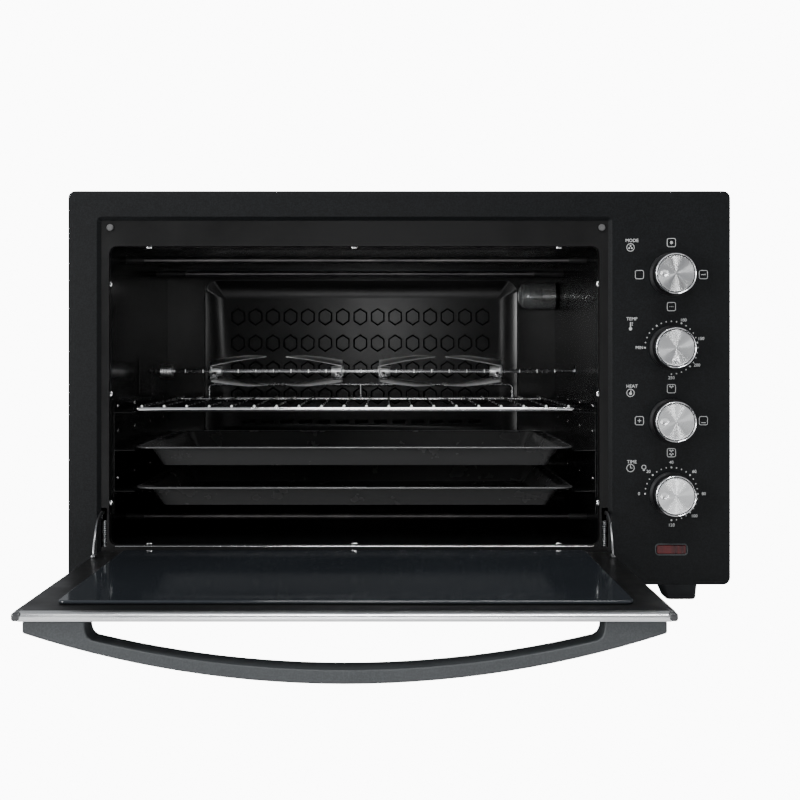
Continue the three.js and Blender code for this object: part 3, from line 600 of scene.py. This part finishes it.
def hexagon_field():
    """Embossed hexagons in rows over the flat of the back reflector, coloured near black as painted shade."""
    bm = bmesh.new()
    face = high("back_reflector").y - MM
    left = low("back_reflector").x + 40.8 * MM
    top = high("back_reflector").z - 46.2 * MM
    for row in range(4):
        for column in range(15):
            x = left + column * 22.3 * MM
            z = top - row * 33.6 * MM
            rings = []
            for radius, rise in ((11.6, -0.2), (11.2, 1.2), (9.3, 1.2), (8.9, -0.2)):
                ring = []
                for k in range(6):
                    angle = math.radians(90 + 60 * k)
                    ring.append((
                        x + radius * 0.89 * MM * math.cos(angle),
                        face - rise * MM,
                        z + radius * MM * math.sin(angle),
                    ))
                rings.append(ring)
            add_loft(bm, rings, closed=True)
    piece = smooth(bevel(object_from(bm, "reflector_hexagons"), 0.25, 1))
    # the outlines' near-black colour is painted shade
    return dress(piece, "painted_shade_enamel", "housing")


def heater_piece(node):
    """A sheathed element with its ceramic bushes, collars and terminal pins."""
    lowest, highest, middle = low(node), high(node), centre(node)
    bm = bmesh.new()
    cold = 30 if "rear" in node else 14
    start = lowest.x + (16 + cold) * MM
    end = highest.x - (16 + cold) * MM
    radius = 2.9
    length = (end - start) / MM
    profile = [(radius, 0), (radius, length * 0.33), (radius, length * 0.67), (radius, length)]
    add_turned(bm, profile, (start, middle.y, middle.z), (1, 0, 0), 24)
    bar = smooth(object_from(bm, node + "_bar"))
    dress(bar, "heater_sheath", "housing", [node])
    bm = bmesh.new()
    sleeve = [(3.0, 1), (3.2, 1.4), (3.2, cold + 10), (4.2, cold + 10.5), (4.6, cold + 11.6),
              (4.6, cold + 14), (4.5, cold + 15), (5.0, cold + 16), (5.0, cold + 17), (2.2, cold + 17.8)]
    add_turned(bm, sleeve, (start + 2 * MM, middle.y, middle.z), (-1, 0, 0), 28)
    add_turned(bm, sleeve, (end - 2 * MM, middle.y, middle.z), (1, 0, 0), 28)
    dress(smooth(object_from(bm, node + "_bushes")), "ceramic", "housing")


def lamp_socket():
    """The ring of the lamp's socket, inside its glass."""
    bm = bmesh.new()
    origin = (low("lamp_glass").x, centre("lamp_glass").y, centre("lamp_glass").z)
    profile = [(8.0, 40.5), (8.4, 38), (8.4, 31), (9.6, 30), (9.6, 28.5), (6.3, 27.8)]
    add_turned(bm, profile, origin, (1, 0, 0), 32)
    dress(smooth(object_from(bm, "lamp_socket")), "ceramic", "housing")


def spring_piece(side):
    """A close-wound coil spring with a straight tail at each end."""
    node = "door_spring_" + side
    lowest, highest, middle = low(node), high(node), centre(node)
    bm = bmesh.new()
    bottom = lowest.z + 33 * MM
    top = highest.z - 8.4 * MM
    turns = 15
    away = 3 * MM if side == "right" else -3 * MM
    points = [Vector((middle.x + away, middle.y, z)) for z in (lowest.z + 0.6 * MM, bottom - 1 * MM)]
    for i in range(turns * 14 + 1):
        angle = 2 * math.pi * i / 14
        points.append(Vector((
            middle.x + away * math.cos(angle),
            middle.y + 3 * MM * math.sin(angle),
            bottom + (top - bottom) * i / (turns * 14),
        )))
    points += [Vector((middle.x + away, middle.y, z)) for z in (top + 1 * MM, highest.z - 0.6 * MM)]
    add_tube(bm, points, 0.6 * MM, 8)
    dress(smooth(object_from(bm, node + "_coil"), 60), "bare_steel", BODY_OF[node], [node])


def hinge_arm_piece(side):
    """The curved strap of one hinge, its foot on the door, and the rivet that fixes it."""
    node = "hinge_arm_" + side
    x = centre(node).x
    hinge = Vector((x, FRONT - 2.8 * MM, low(node).z - 3.5 * MM))
    bm = bmesh.new()
    rings = []
    for step in range(29):
        angle = math.radians(8 + 97 * step / 28)
        spoke = Vector((0, -math.cos(angle), math.sin(angle)))
        rings.append([
            hinge + spoke * radius * MM + Vector((across * MM, 0, 0))
            for radius, across in ((40.2, -0.8), (43.8, -0.8), (43.8, 0.8), (40.2, 0.8))
        ])
    add_loft(bm, rings)
    foot = hinge.y - 42 * MM
    base = low(node).z
    add_box(bm, (x - 1.8 * MM, foot - 3.2 * MM, base), (x + 1.8 * MM, foot + 8 * MM, base + 2.2 * MM))
    arm = smooth(bevel(object_from(bm, node + "_strap"), 0.35, 2))
    dress(arm, "dark_steel", BODY_OF[node], [node])
    bm = bmesh.new()
    place = (x, foot + 4 * MM, base + 2.2 * MM)
    add_turned(bm, [(1.5, -0.3), (1.6, 0.2), (1.3, 0.7), (0.5, 1.0)], place, (0, 0, 1), 20)
    dress(smooth(object_from(bm, node + "_rivet")), "chrome_wire", BODY_OF[node])


spring_clips()
mouth_lip()
runner_rivets()
hexagon_field()
lamp_socket()
for name in ("upper_front", "upper_rear", "lower_front", "lower_rear"):
    heater_piece("heater_" + name)
for name in ("left", "right"):
    spring_piece(name)
    hinge_arm_piece(name)


def case_screws():
    """Screws around the back, along the sides and under the base."""
    back = high("rear_panel")
    front = low("rear_panel")
    inset = 9 * MM
    places = []
    for x in (front.x + inset, CAVITY_MID, back.x - inset):
        for z in (front.z + inset, back.z - inset):
            places.append((x, back.y, z))
    middle = (front.z + back.z) / 2
    places += [(front.x + inset, back.y, middle), (back.x - inset, back.y, middle)]
    screw_heads("rear_screws", places, (0, 1, 0), 3.2)
    cover_low, cover_high = low("outer_cover"), high("outer_cover")
    for side, x in ((-1, cover_low.x), (1, cover_high.x)):
        rows = [
            (x, y, z)
            for y in (cover_low.y + 12 * MM, cover_high.y - 10 * MM)
            for z in (cover_low.z + 22 * MM, cover_high.z - 22 * MM)
        ]
        name = "left" if side < 0 else "right"
        screw_heads("cover_screws_" + name, rows, (side, 0, 0), 2.8, "case_black")
    base = low("base_plate")
    rows = [(x, y, base.z) for x in (-0.2, 0.2) for y in (FRONT + 0.04, FRONT + 0.43)]
    screw_heads("base_screws", rows, (0, 0, -1), 3.0)


case_screws()


# ---------- spit and forks ----------
def square_rings(profile, start):
    """Rings of a square bar with rounded corners, from (place along X, half width) pairs."""
    rings = []
    for place, half in profile:
        ring = []
        for k in range(20):
            corner, step = divmod(k, 5)
            angle = math.radians(90 * corner + 22.5 * step)
            middle = math.radians(90 * corner + 45)
            flat = (half - 0.85) * math.sqrt(2)
            ring.append((
                start.x + place * MM,
                start.y + (flat * math.cos(middle) + 0.85 * math.cos(angle)) * MM,
                start.z + (flat * math.sin(middle) + 0.85 * math.sin(angle)) * MM,
            ))
        rings.append(ring)
    return rings


def spit_piece():
    """The spit: a square bar with bright bands as painted highlights of its notches, a pointed end and a
    ribbed collar.
    """
    lowest, highest = low("spit_rod"), high("spit_rod")
    start = Vector((lowest.x, SPIT.y, SPIT.z))
    length = (highest.x - lowest.x) / MM
    bm = bmesh.new()
    add_loft(bm, square_rings([(0, 1.0), (2, 2.05), (length - 2, 2.05), (length, 1.0)], start))
    bar = smooth(bevel(object_from(bm, "spit_bar"), 0.1, 1, 35))
    # the bar's darkened steel is painted shade
    dress(bar, "spit_steel_painted_shade", "spit", ["spit_rod"])
    # bright bands at the notches' pitch, as painted highlights
    bm = bmesh.new()
    place = 42.0
    while place < length - 24:
        marks = [(place, 2.0), (place + 0.15, 2.1), (place + 1.15, 2.1), (place + 1.3, 2.0)]
        add_loft(bm, square_rings(marks, start))
        place += 19.9
    dress(smooth(object_from(bm, "spit_highlight_bands")), "rack_wire", "spit")
    bm = bmesh.new()
    collar = [(2.4, 0), (5.9, 0.1), (6.3, 0.5)]
    for rib in range(5):
        near = 0.9 + 2.7 * rib
        collar += [(6.6, near), (6.6, near + 1.6), (5.8, near + 1.9), (5.8, near + 2.3)]
    collar += [(6.6, 14.2), (6.2, 14.5), (2.4, 14.5)]
    place = (SPIT.x - (highest.x - lowest.x) / 2 + 14 * MM, SPIT.y, SPIT.z)
    add_turned(bm, collar, place, (1, 0, 0), 48)
    dress(smooth(object_from(bm, "spit_collar"), 35), "rack_wire", "spit")


FORKS = {"left_outer": 1, "left_inner": -1, "right_inner": 1, "right_outer": -1}


def fork_frame(name, points):
    """Where one fork sits: its hub on the spit, its blades rolled about it."""
    node = "fork_" + name
    hub = low(node).x + 7 * MM if points > 0 else high(node).x - 7 * MM
    place = Matrix.Translation((hub, SPIT.y, SPIT.z))
    roll = Matrix.Rotation(math.radians(27), 4, "X")
    turn = Matrix.Rotation(math.pi if points < 0 else 0, 4, "Z")
    return place @ roll @ turn


def fork_piece(name, points):
    """A pressed fork: a hub, a cross plate, and two ribbed blades that narrow to points."""
    matrix = fork_frame(name, points)
    bm = bmesh.new()
    hub = [(2.7, -7), (5.0, -7), (5.5, -6.5), (5.5, 6.5), (5.0, 7), (2.7, 7)]
    rings = turned_rings(hub, (0, 0, 0), (1, 0, 0), 36)
    add_loft(bm, [[matrix @ p for p in ring] for ring in rings], closed=True)
    stations = (
        (-5.6, 9.6, 7.0, 1.0), (-4.0, 10.6, 7.0, 1.0), (6.0, 12.6, 6.4, 1.0), (20.0, 15.2, 5.5, 0.9),
        (33.0, 17.2, 4.5, 0.8), (37.0, 17.6, 4.2, 0.75), (48.0, 18.1, 2.5, 0.6), (58.0, 18.4, 0.5, 0.35),
    )
    for side in (-1, 1):
        rings = []
        for x, out, half, thick in stations:
            section = (
                (-1, -1), (-0.72, -0.4), (-0.36, -0.4), (0, -0.1), (0.36, -0.4), (0.72, -0.4), (1, -1),
                (1, 0), (0.72, 0.6), (0.36, 0.6), (0, 0.9), (-0.36, 0.6), (-0.72, 0.6), (-1, 0),
            )
            rings.append([
                matrix @ (Vector((x, y * half, side * (out + z * thick))) * MM) for y, z in section
            ])
        add_loft(bm, rings)
        plate = [(-7, 2.6), (7, 2.6), (7, 10.4), (-7, 10.4)]
        first = [matrix @ (Vector((-5.6, y, side * z)) * MM) for y, z in plate]
        second = [matrix @ (Vector((-4.0, y, side * z)) * MM) for y, z in plate]
        add_loft(bm, [first, second])
    piece = smooth(bevel(object_from(bm, "fork_" + name + "_steel"), 0.22, 2, 35))
    dress(piece, "rack_wire", BODY_OF["fork_" + name], ["fork_" + name])


def thumbscrew_piece(name, points):
    """A threaded screw with a rounded, flattened wing, standing across the blades."""
    matrix = fork_frame(name, points) @ Matrix.Rotation(-points * math.pi / 2, 4, "X")
    bm = bmesh.new()
    profile = [(1.2, 2.95), (1.7, 3.2)]
    height = 3.6
    while height < 7.6:
        profile += [(2.0, height), (1.65, height + 0.3)]
        height += 0.6
    profile += [(2.0, 8.0), (3.1, 8.1), (3.4, 8.5), (3.4, 13.4), (3.0, 14.0), (1.2, 14.2)]
    rings = turned_rings(profile, (-MM, 0, 0), (0, 0, -1), 24)
    add_loft(bm, [[matrix @ p for p in ring] for ring in rings])
    wing = []
    for share in range(24):
        angle = 2 * math.pi * share / 24
        x = 6.0 * math.copysign(abs(math.cos(angle)) ** 0.6, math.cos(angle))
        z = -16.4 + 3.6 * math.copysign(abs(math.sin(angle)) ** 0.6, math.sin(angle))
        wing.append((x - 1, z))
    rings = [
        [matrix @ Vector((x * MM, y * MM, z * MM)) for x, z in wing]
        for y in (-1.0, 1.0)
    ]
    add_loft(bm, rings)
    piece = smooth(bevel(object_from(bm, "thumbscrew_" + name + "_steel"), 0.35, 2, 40))
    node = "thumbscrew_" + name
    # the thumbscrews' darkened plating is painted shade
    dress(piece, "chrome_painted_shade", BODY_OF[node], [node])


spit_piece()
for name, points in FORKS.items():
    fork_piece(name, points)
    thumbscrew_piece(name, points)


# ---------- rack ----------
def rack_piece():
    """The wire rack: a bent frame, welded wires with rounded ends, and the raised backstop."""
    lowest, highest = low("wire_rack"), high("wire_rack")
    rail = 2.5
    left = lowest.x + rail * MM
    right = highest.x - rail * MM
    front = lowest.y + rail * MM
    back = front + 310 * MM
    z = lowest.z + rail * MM
    bm = bmesh.new()
    outline = rounded_outline(left, right, front, back, 6 * MM, 6 * MM)
    add_tube(bm, [(x, y, z) for x, y in outline], (rail - 0.1) * MM, 16, closed=True)
    dress(smooth(object_from(bm, "rack_frame"), 60), "chrome_wire", "rack", ["wire_rack"])
    bm = bmesh.new()
    top = z + (rail + 0.4) * MM
    pitch = (right - left - 16 * MM) / 19
    start = (left + right) / 2 - 9.5 * pitch
    for i in range(20):
        x = start + i * pitch
        profile = [(0.9, 2.0), (0.9, 311.4), (0.4, 312)]
        add_turned(bm, profile, (x, front - MM, top), (0, 1, 0), 12)
    # the wires' darkened steel is painted shade, beside the chrome frame
    dress(smooth(object_from(bm, "rack_wires"), 60), "spit_steel_painted_shade", "rack")
    bm = bmesh.new()
    for i in range(20):
        x = start + i * pitch
        weld = [(0.4, 0), (1.0, 0.2), (1.35, 0.8), (1.4, 1.6), (1.2, 2.6), (0.8, 3.0)]
        add_turned(bm, weld, (x, front - MM, top), (0, 1, 0), 14)
    dress(smooth(object_from(bm, "rack_weld_ends"), 60), "rack_wire", "rack")
    bm = bmesh.new()
    half = 188.1 * MM
    mid = (left + right) / 2
    rise = z + 18 * MM
    bend = 5 * MM
    line = [(mid - half, z)]
    line += arc(mid - half + bend, rise - bend, bend, 180, 90, 8)
    line += arc(mid + half - bend, rise - bend, bend, 90, 0, 8)
    line += [(mid + half, z)]
    for run in (line, [(mid, z), (mid, rise)]):
        add_tube(bm, [(x, back, height) for x, height in run], 1.9 * MM)
    # the backstop's darkened steel is painted shade
    dress(smooth(object_from(bm, "rack_backstop"), 60), "spit_steel_painted_shade", "rack")


rack_piece()


# ---------- trays ----------
def tray_bead(node):
    """The rolled bead around a tray's rim."""
    lowest, highest = low(node), high(node)
    z = highest.z - 0.1 * MM
    bm = bmesh.new()
    outline = rounded_outline(lowest.x, highest.x, lowest.y, highest.y, 16 * MM, 15.3 * MM)
    add_tube(bm, [(x, y, z) for x, y in outline], 0.9 * MM, 12, closed=True)
    dress(smooth(object_from(bm, node + "_bead"), 60), "tray_bead", BODY_OF[node])


tray_bead("tray_upper")
tray_bead("tray_lower")


# ---------- door ----------
def trim_piece():
    """The aluminium profile along the door's top edge, rounded towards the front."""
    lowest, highest = low("door_trim"), high("door_trim")
    tall = highest.z - lowest.z
    outline = [(highest.y, highest.z), (highest.y, lowest.z)]
    outline += arc(lowest.y + 1.2 * MM, lowest.z + 1.2 * MM, 1.2 * MM, 270, 180, 4)
    for step in range(13):
        angle = math.radians(180 - 90 * step / 12)
        outline.append((
            lowest.y + 4.5 * MM * (1 + math.cos(angle)),
            highest.z - tall * 0.55 * (1 - math.sin(angle)),
        ))
    bm = bmesh.new()
    ends = (lowest.x + 5 * MM, highest.x - 5 * MM)
    add_loft(bm, [[(x, y, z) for y, z in outline] for x in ends])
    piece = smooth(object_from(bm, "door_trim_profile"), 50)
    dress(piece, "trim_aluminium", "door", ["door_trim"])


def trim_caps():
    """The moulded caps over both ends of the door's top profile."""
    bm = bmesh.new()
    lowest, highest = low("door_trim"), high("door_trim")
    for x in ((lowest.x - 0.4 * MM, lowest.x + 7.5 * MM), (highest.x - 7.5 * MM, highest.x + 0.4 * MM)):
        add_box(
            bm,
            (x[0], lowest.y - 0.3 * MM, lowest.z + 0.2 * MM),
            (x[1], lowest.y + 19 * MM, highest.z - 0.05 * MM),
        )
    piece = smooth(bevel(object_from(bm, "trim_end_caps"), 2.2, 5))
    dress(piece, "trim_cap", "door")


trim_piece()
trim_caps()


# ---------- controls ----------
# the way each knob's dimple points, across and up
POINTERS = {
    "mode_knob": (-1, 0),
    "temperature_knob": (0, -1),
    "heat_knob": (-1, 0),
    "timer_knob": (-1, 0),
}


def knob_pieces(node):
    """A black skirted knob with a polished rim and a spun cap with a dimple for a pointer."""
    body = BODY_OF[node]
    middle = centre(node)
    origin = Vector((middle.x, FRONT, middle.z))
    forward = (0, -1, 0)
    bm = bmesh.new()
    grip = [(2.8, -12), (2.8, 0.8), (21.4, 0.8), (22.0, 1.3), (22.0, 2.4), (21.5, 2.9), (20.2, 3.9),
            (19.5, 4.7), (19.1, 8), (19.0, 17.4), (19.0, 23.4), (17.0, 23.6)]
    add_turned(bm, grip, (0, 0, 0), forward, 96)
    piece = smooth(object_from(bm, node + "_grip"))
    piece.location = origin
    dress(piece, "black_plastic", body, [node])
    bm = bmesh.new()
    rim = [(18.9, 18.2), (20.0, 18.2), (20.3, 18.5), (20.3, 23.9), (20.0, 24.7), (19.5, 25.0),
           (19.0, 24.8), (18.8, 24.2)]
    add_loft(bm, turned_rings(rim, (0, 0, 0), forward, 96), closed=True)
    piece = smooth(object_from(bm, node + "_rim"), 50)
    piece.location = origin
    dress(piece, "polished_rim", body)
    bm = bmesh.new()
    pointer = Vector((POINTERS[node][0], 0, POINTERS[node][1]))
    across = Vector((pointer.z, 0, -pointer.x))
    steps = 96
    rings = []
    for radius, height in [(18.0, 22.8), (18.1, 24.2), (17.8, 24.7)] + [
        (17.8 - 0.57 * i, 24.75 - 0.35 * (i / 31)) for i in range(1, 31)
    ]:
        ring = []
        for k in range(steps):
            angle = 2 * math.pi * k / steps
            spoke = Vector((math.cos(angle), 0, math.sin(angle))) * radius
            away = ((spoke.dot(pointer) - 11.4) / 3.9) ** 2 + (spoke.dot(across) / 2.7) ** 2
            dip = 0.75 * max(0.0, 1 - away) ** 0.6
            ring.append((spoke + Vector((0, -(height - dip), 0))) * MM)
        rings.append(ring)
    add_loft(bm, rings)
    piece = smooth(object_from(bm, node + "_cap"))
    piece.location = origin
    dress(piece, "knob_metal", body)


for node in KNOBS:
    knob_pieces(node)


# ---------- dial prints ----------
INK = 0.06  # how far the printed ink stands off the panel, in millimetres


def ink_plate(bm, outline, hole=None):
    """A flat printed shape from an outline of (x, z) points in metres, with or without a hole."""
    back = FRONT + 0.02 * MM
    face = FRONT - INK * MM
    rings = [[(x, y, z) for x, z in outline] for y in (back, face)]
    if hole:
        rings += [[(x, y, z) for x, z in hole] for y in (face, back)]
    add_loft(bm, rings, closed=bool(hole))


def circle(x, z, radius, steps):
    return arc(x, z, radius * MM, 0, 360, steps)[:-1]


def ink_disc(bm, x, z, radius):
    ink_plate(bm, circle(x, z, radius, 20))


def ink_ring(bm, x, z, radius):
    ink_plate(bm, circle(x, z, radius, 28), circle(x, z, radius - 0.5, 28))


def ink_line(bm, start, end, width=0.6):
    """A printed stroke between two (x, z) points in metres."""
    first, second = Vector(start), Vector(end)
    side = (second - first).normalized().orthogonal() * width * MM / 2
    ink_plate(bm, [first + side, first - side, second - side, second + side])


def ink_strokes(bm, x, z, strokes, size):
    """Strokes given on a grid from -1 to 1 about a point."""
    for line in strokes:
        spots = [(x + a * size * MM, z + b * size * MM) for a, b in line]
        for start, end in zip(spots, spots[1:]):
            ink_line(bm, start, end)


def ink_frame(bm, x, z):
    """A printed square frame with rounded corners."""
    half = 4.4 * MM
    corner = 1.9 * MM
    outer, inner = [
        rounded_outline(x - half, x + half, z - half, z + half, corner, radius, 4)
        for radius in (corner, corner - 0.5 * MM)
    ]
    ink_plate(bm, outer, inner)


def words(name, entries):
    """Printed words and numbers, each (text, x, z, height in mm)."""
    parts = []
    for text, x, z, height in entries:
        curve = bpy.data.curves.new(name, "FONT")
        curve.body = text
        curve.size = height * MM * 1.35
        curve.align_x = "CENTER"
        curve.align_y = "CENTER"
        curve.extrude = INK * MM / 2
        curve.resolution_u = 3
        obj = new_object(name, curve)
        obj.rotation_euler = (math.pi / 2, 0, 0)
        obj.location = (x, FRONT - INK * MM / 2 + 0.01 * MM, z)
        mesh = evaluated_mesh(obj)
        mesh.transform(obj.matrix_world)
        bpy.data.objects.remove(obj)
        parts.append(mesh)
    bm = bmesh.new()
    for mesh in parts:
        bm.from_mesh(mesh)
    bmesh.ops.remove_doubles(bm, verts=bm.verts, dist=1e-7)
    return dress(object_from(bm, name), "print_white", "housing")


ZIGZAG = [(-0.55, 0), (-0.3, 0.3), (0, -0.3), (0.3, 0.3), (0.55, 0)]


def raised(points, lift):
    return [(a, b + lift) for a, b in points]


# each control's word, and the heights of the word and of its sign over the knob's middle
SIGNS = {
    "mode_knob": ("MODE", 34.0, 27.2),
    "temperature_knob": ("TEMP", 28.7, 21.9),
    "heat_knob": ("HEAT", 34.4, 27.8),
    "timer_knob": ("TIME", 31.8, 25.8),
}


def control_sign(bm, node):
    """The small sign under each control's word."""
    x = centre(node).x - 40.9 * MM
    z = centre(node).z + SIGNS[node][2] * MM
    if node == "temperature_knob":
        ink_line(bm, (x, z + 3.6 * MM), (x, z - 2.2 * MM), 0.9)
        ink_disc(bm, x, z - 3.0 * MM, 1.6)
        for lift in (3.2, 1.9, 0.6):
            ink_line(bm, (x + 1.1 * MM, z + lift * MM), (x + 2.4 * MM, z + lift * MM), 0.5)
        return
    ink_ring(bm, x, z, 4.0)
    if node == "mode_knob":
        for degrees in (90, 210, 330):
            angle = math.radians(degrees)
            ink_disc(bm, x + 1.5 * MM * math.cos(angle), z + 1.5 * MM * math.sin(angle), 0.8)
    elif node == "heat_knob":
        ink_disc(bm, x, z - 0.6 * MM, 1.4)
        ink_line(bm, (x, z), (x + 0.5 * MM, z + 2.2 * MM), 1.0)
    else:
        ink_line(bm, (x, z), (x, z + 2.6 * MM))
        ink_line(bm, (x, z), (x + 1.8 * MM, z))
        ink_ring(bm, x + 13.4 * MM, z + 0.8 * MM, 2.3)
        ink_line(bm, (x + 12.4 * MM, z - 2.3 * MM), (x + 14.4 * MM, z - 2.3 * MM), 0.8)


def dial_prints():
    """The icons, scale dots, frames and small signs beside each control."""
    bm = bmesh.new()
    around = ((-1, 0), (0, 1), (1, 0), (0, -1))
    signs = {
        "mode_knob": (
            [],
            [[(-0.4, 0), (0.4, 0)], [(0, -0.4), (0, 0.4)],
             [(-0.3, -0.3), (0.3, 0.3)], [(-0.3, 0.3), (0.3, -0.3)]],
            [[(-0.55, 0), (0.55, 0)]],
            [[(-0.45, 0), (-0.3, 0)], [(-0.08, 0), (0.08, 0)], [(0.3, 0), (0.45, 0)]],
        ),
        "heat_knob": (
            [[(-0.45, 0), (0.45, 0)], [(0, -0.45), (0, 0.45)]],
            [raised(ZIGZAG, 0.45)],
            [[(-0.55, -0.5), (0.55, -0.5)]],
            [raised(ZIGZAG, 0.45), raised(ZIGZAG, -0.45)],
        ),
    }
    for node, rows in signs.items():
        middle = centre(node)
        for (dx, dz), strokes in zip(around, rows):
            x = middle.x + dx * 32 * MM
            z = middle.z + dz * 32 * MM
            ink_frame(bm, x, z)
            ink_strokes(bm, x, z, strokes, 4.0)
    for node in ("temperature_knob", "timer_knob"):
        middle = centre(node)
        for i in range(25):
            angle = math.radians(180 - 11.25 * i)
            big = i % 4 == 0 if node == "timer_knob" else i % 5 == 0
            ink_disc(
                bm,
                middle.x + 26.4 * MM * math.cos(angle),
                middle.z + 26.4 * MM * math.sin(angle),
                0.85 if big else 0.6,
            )
    for node in KNOBS:
        control_sign(bm, node)
    dress(object_from(bm, "dial_prints"), "print_white", "housing")


def dial_words():
    """The numbers around the two scales, and a short word over each control's sign."""
    rows = []
    temperature = centre("temperature_knob")
    timer = centre("timer_knob")
    scale = ((180, 32, "MIN"), (66.4, 30, "100"), (17, 31, "150"), (-34.4, 31, "200"), (-90, 30.2, "250"))
    for degrees, reach, text in scale:
        angle = math.radians(degrees)
        x = temperature.x + reach * MM * math.cos(angle)
        z = temperature.z + reach * MM * math.sin(angle)
        rows.append((text, x, z, 3.2))
    for step in range(7):
        angle = math.radians(180 - 45 * step)
        rows.append((
            str(step * 20),
            timer.x + 32.4 * MM * math.cos(angle),
            timer.z + 31.4 * MM * math.sin(angle),
            3.2,
        ))
    for node, (text, lift, _) in SIGNS.items():
        middle = centre(node)
        rows.append((text, middle.x - 39.5 * MM, middle.z + lift * MM, 3.4))
    return words("dial_words", rows)


def lens_bezel():
    """The thin frame around the pilot lens."""
    bm = bmesh.new()
    lowest, highest = low("indicator_lens"), high("indicator_lens")
    outline = rounded_outline(lowest.x, highest.x, lowest.z, highest.z, 2 * MM, 3.2 * MM)
    add_tube(bm, [(x, FRONT - 0.1 * MM, z) for x, z in outline], 0.6 * MM, 10, closed=True)
    dress(smooth(object_from(bm, "lens_bezel"), 60), "handle_plastic", "housing")


dial_prints()
dial_words()
lens_bezel()


# ---------- floor, light and camera ----------
def seen_white(tree, shader, output):
    """Shows the camera plain white, while the object is lit by the shader."""
    white = add_node(tree, "Emission", Strength=WHITE)
    path = add_node(tree, "LightPath")
    mix = add_node(tree, "MixShader", Fac=path.outputs["Is Camera Ray"])
    tree.links.new(shader, mix.inputs[1])
    tree.links.new(white.outputs["Emission"], mix.inputs[2])
    tree.links.new(mix.outputs["Shader"], tree.nodes[output].inputs["Surface"])


def studio_floor():
    """A plain pale floor."""
    bm = bmesh.new()
    bm.faces.new([bm.verts.new((x, y, 0)) for x, y in ((-6, -6), (6, -6), (6, 6), (-6, 6))])
    floor = object_from(bm, "floor")
    finish = Finish("pale_floor", (0.86, 0.86, 0.86), 0.9)
    seen_white(finish.tree, finish.shader.outputs["BSDF"], "Material Output")
    floor.data.materials.append(finish.material)


def studio_world():
    """A soft light all around, brighter on the left, with a dark band slanting across it."""
    world = bpy.data.worlds.new("studio")
    bpy.context.scene.world = world
    world.use_nodes = True
    tree = world.node_tree
    direction = add_node(tree, "TexCoord").outputs["Generated"]
    split = add_node(tree, "SeparateXYZ", Vector=direction)
    side = map_range(tree, split.outputs["X"], -1, 1, 0.55, 0.12)
    slant = math.radians(16)
    across = add_node(tree, "VectorMath", {"operation": "DOT_PRODUCT"}, Vector=direction)
    across.inputs[1].default_value = (-math.sin(slant), 0, math.cos(slant))
    away = add_node(tree, "Math", {"operation": "ABSOLUTE"}, Value=across.outputs["Value"])
    shade = map_range(tree, away.outputs["Value"], 0.04, 0.3, 0.1, 1.15)
    strength = add_node(tree, "Math", {"operation": "MULTIPLY"}, Value=side)
    tree.links.new(shade, strength.inputs[1])
    background = tree.nodes["Background"]
    inputs = {"Color": (0.93, 0.96, 1.0, 1), "Strength": strength.outputs["Value"]}
    set_inputs(tree, background, inputs)
    seen_white(tree, background.outputs["Background"], "World Output")


def area_light(name, place, target, size, power):
    light = bpy.data.lights.new(name, "AREA")
    light.shape = "RECTANGLE"
    light.size, light.size_y = size
    light.energy = power
    obj = new_object(name, light)
    obj.location = place
    aim = Vector(target) - Vector(place)
    obj.rotation_euler = aim.to_track_quat("-Z", "Y").to_euler()
    obj.visible_camera = False


WHITE = 11.0  # the brightness of the plain background to the camera
studio_floor()
studio_world()
area_light("flash", (-0.03, FRONT - 1.45, 0.34), (-0.03, 0.2, 0.25), (0.16, 0.12), 1.3)
area_light("top", (0.1, -1.3, 1.9), (0.05, 0, 0.25), (0.8, 0.4), 36)
area_light("left", (-1.7, -1.5, 0.9), (0, 0, 0.2), (0.8, 1.2), 24)
area_light("low_left", (-1.8, -1.9, 0.42), (0, -0.2, 0.1), (0.6, 0.5), 30)
area_light("low_right", (1.8, -1.9, 0.42), (0, -0.2, 0.1), (0.6, 0.5), 9)
area_light("interior", (-0.045, FRONT + 0.31, 0.335), (-0.045, FRONT + 0.25, 0), (0.36, 0.03), 0.018)
area_light("trim_glow", (-0.03, FRONT - 1.0, 0.02), (-0.03, FRONT - 0.34, 0.05), (0.4, 0.04), 0.8)

camera = bpy.data.cameras.new("camera")
camera.lens = 64.35
camera.sensor_width = 36
camera.shift_x = 0.01625
camera.shift_y = -0.0625
camera_object = new_object("camera", camera)
camera_object.location = (-0.01225, FRONT - 1.43, 0.2593)
camera_object.rotation_euler = (math.pi / 2, 0, 0)
bpy.context.scene.camera = camera_object
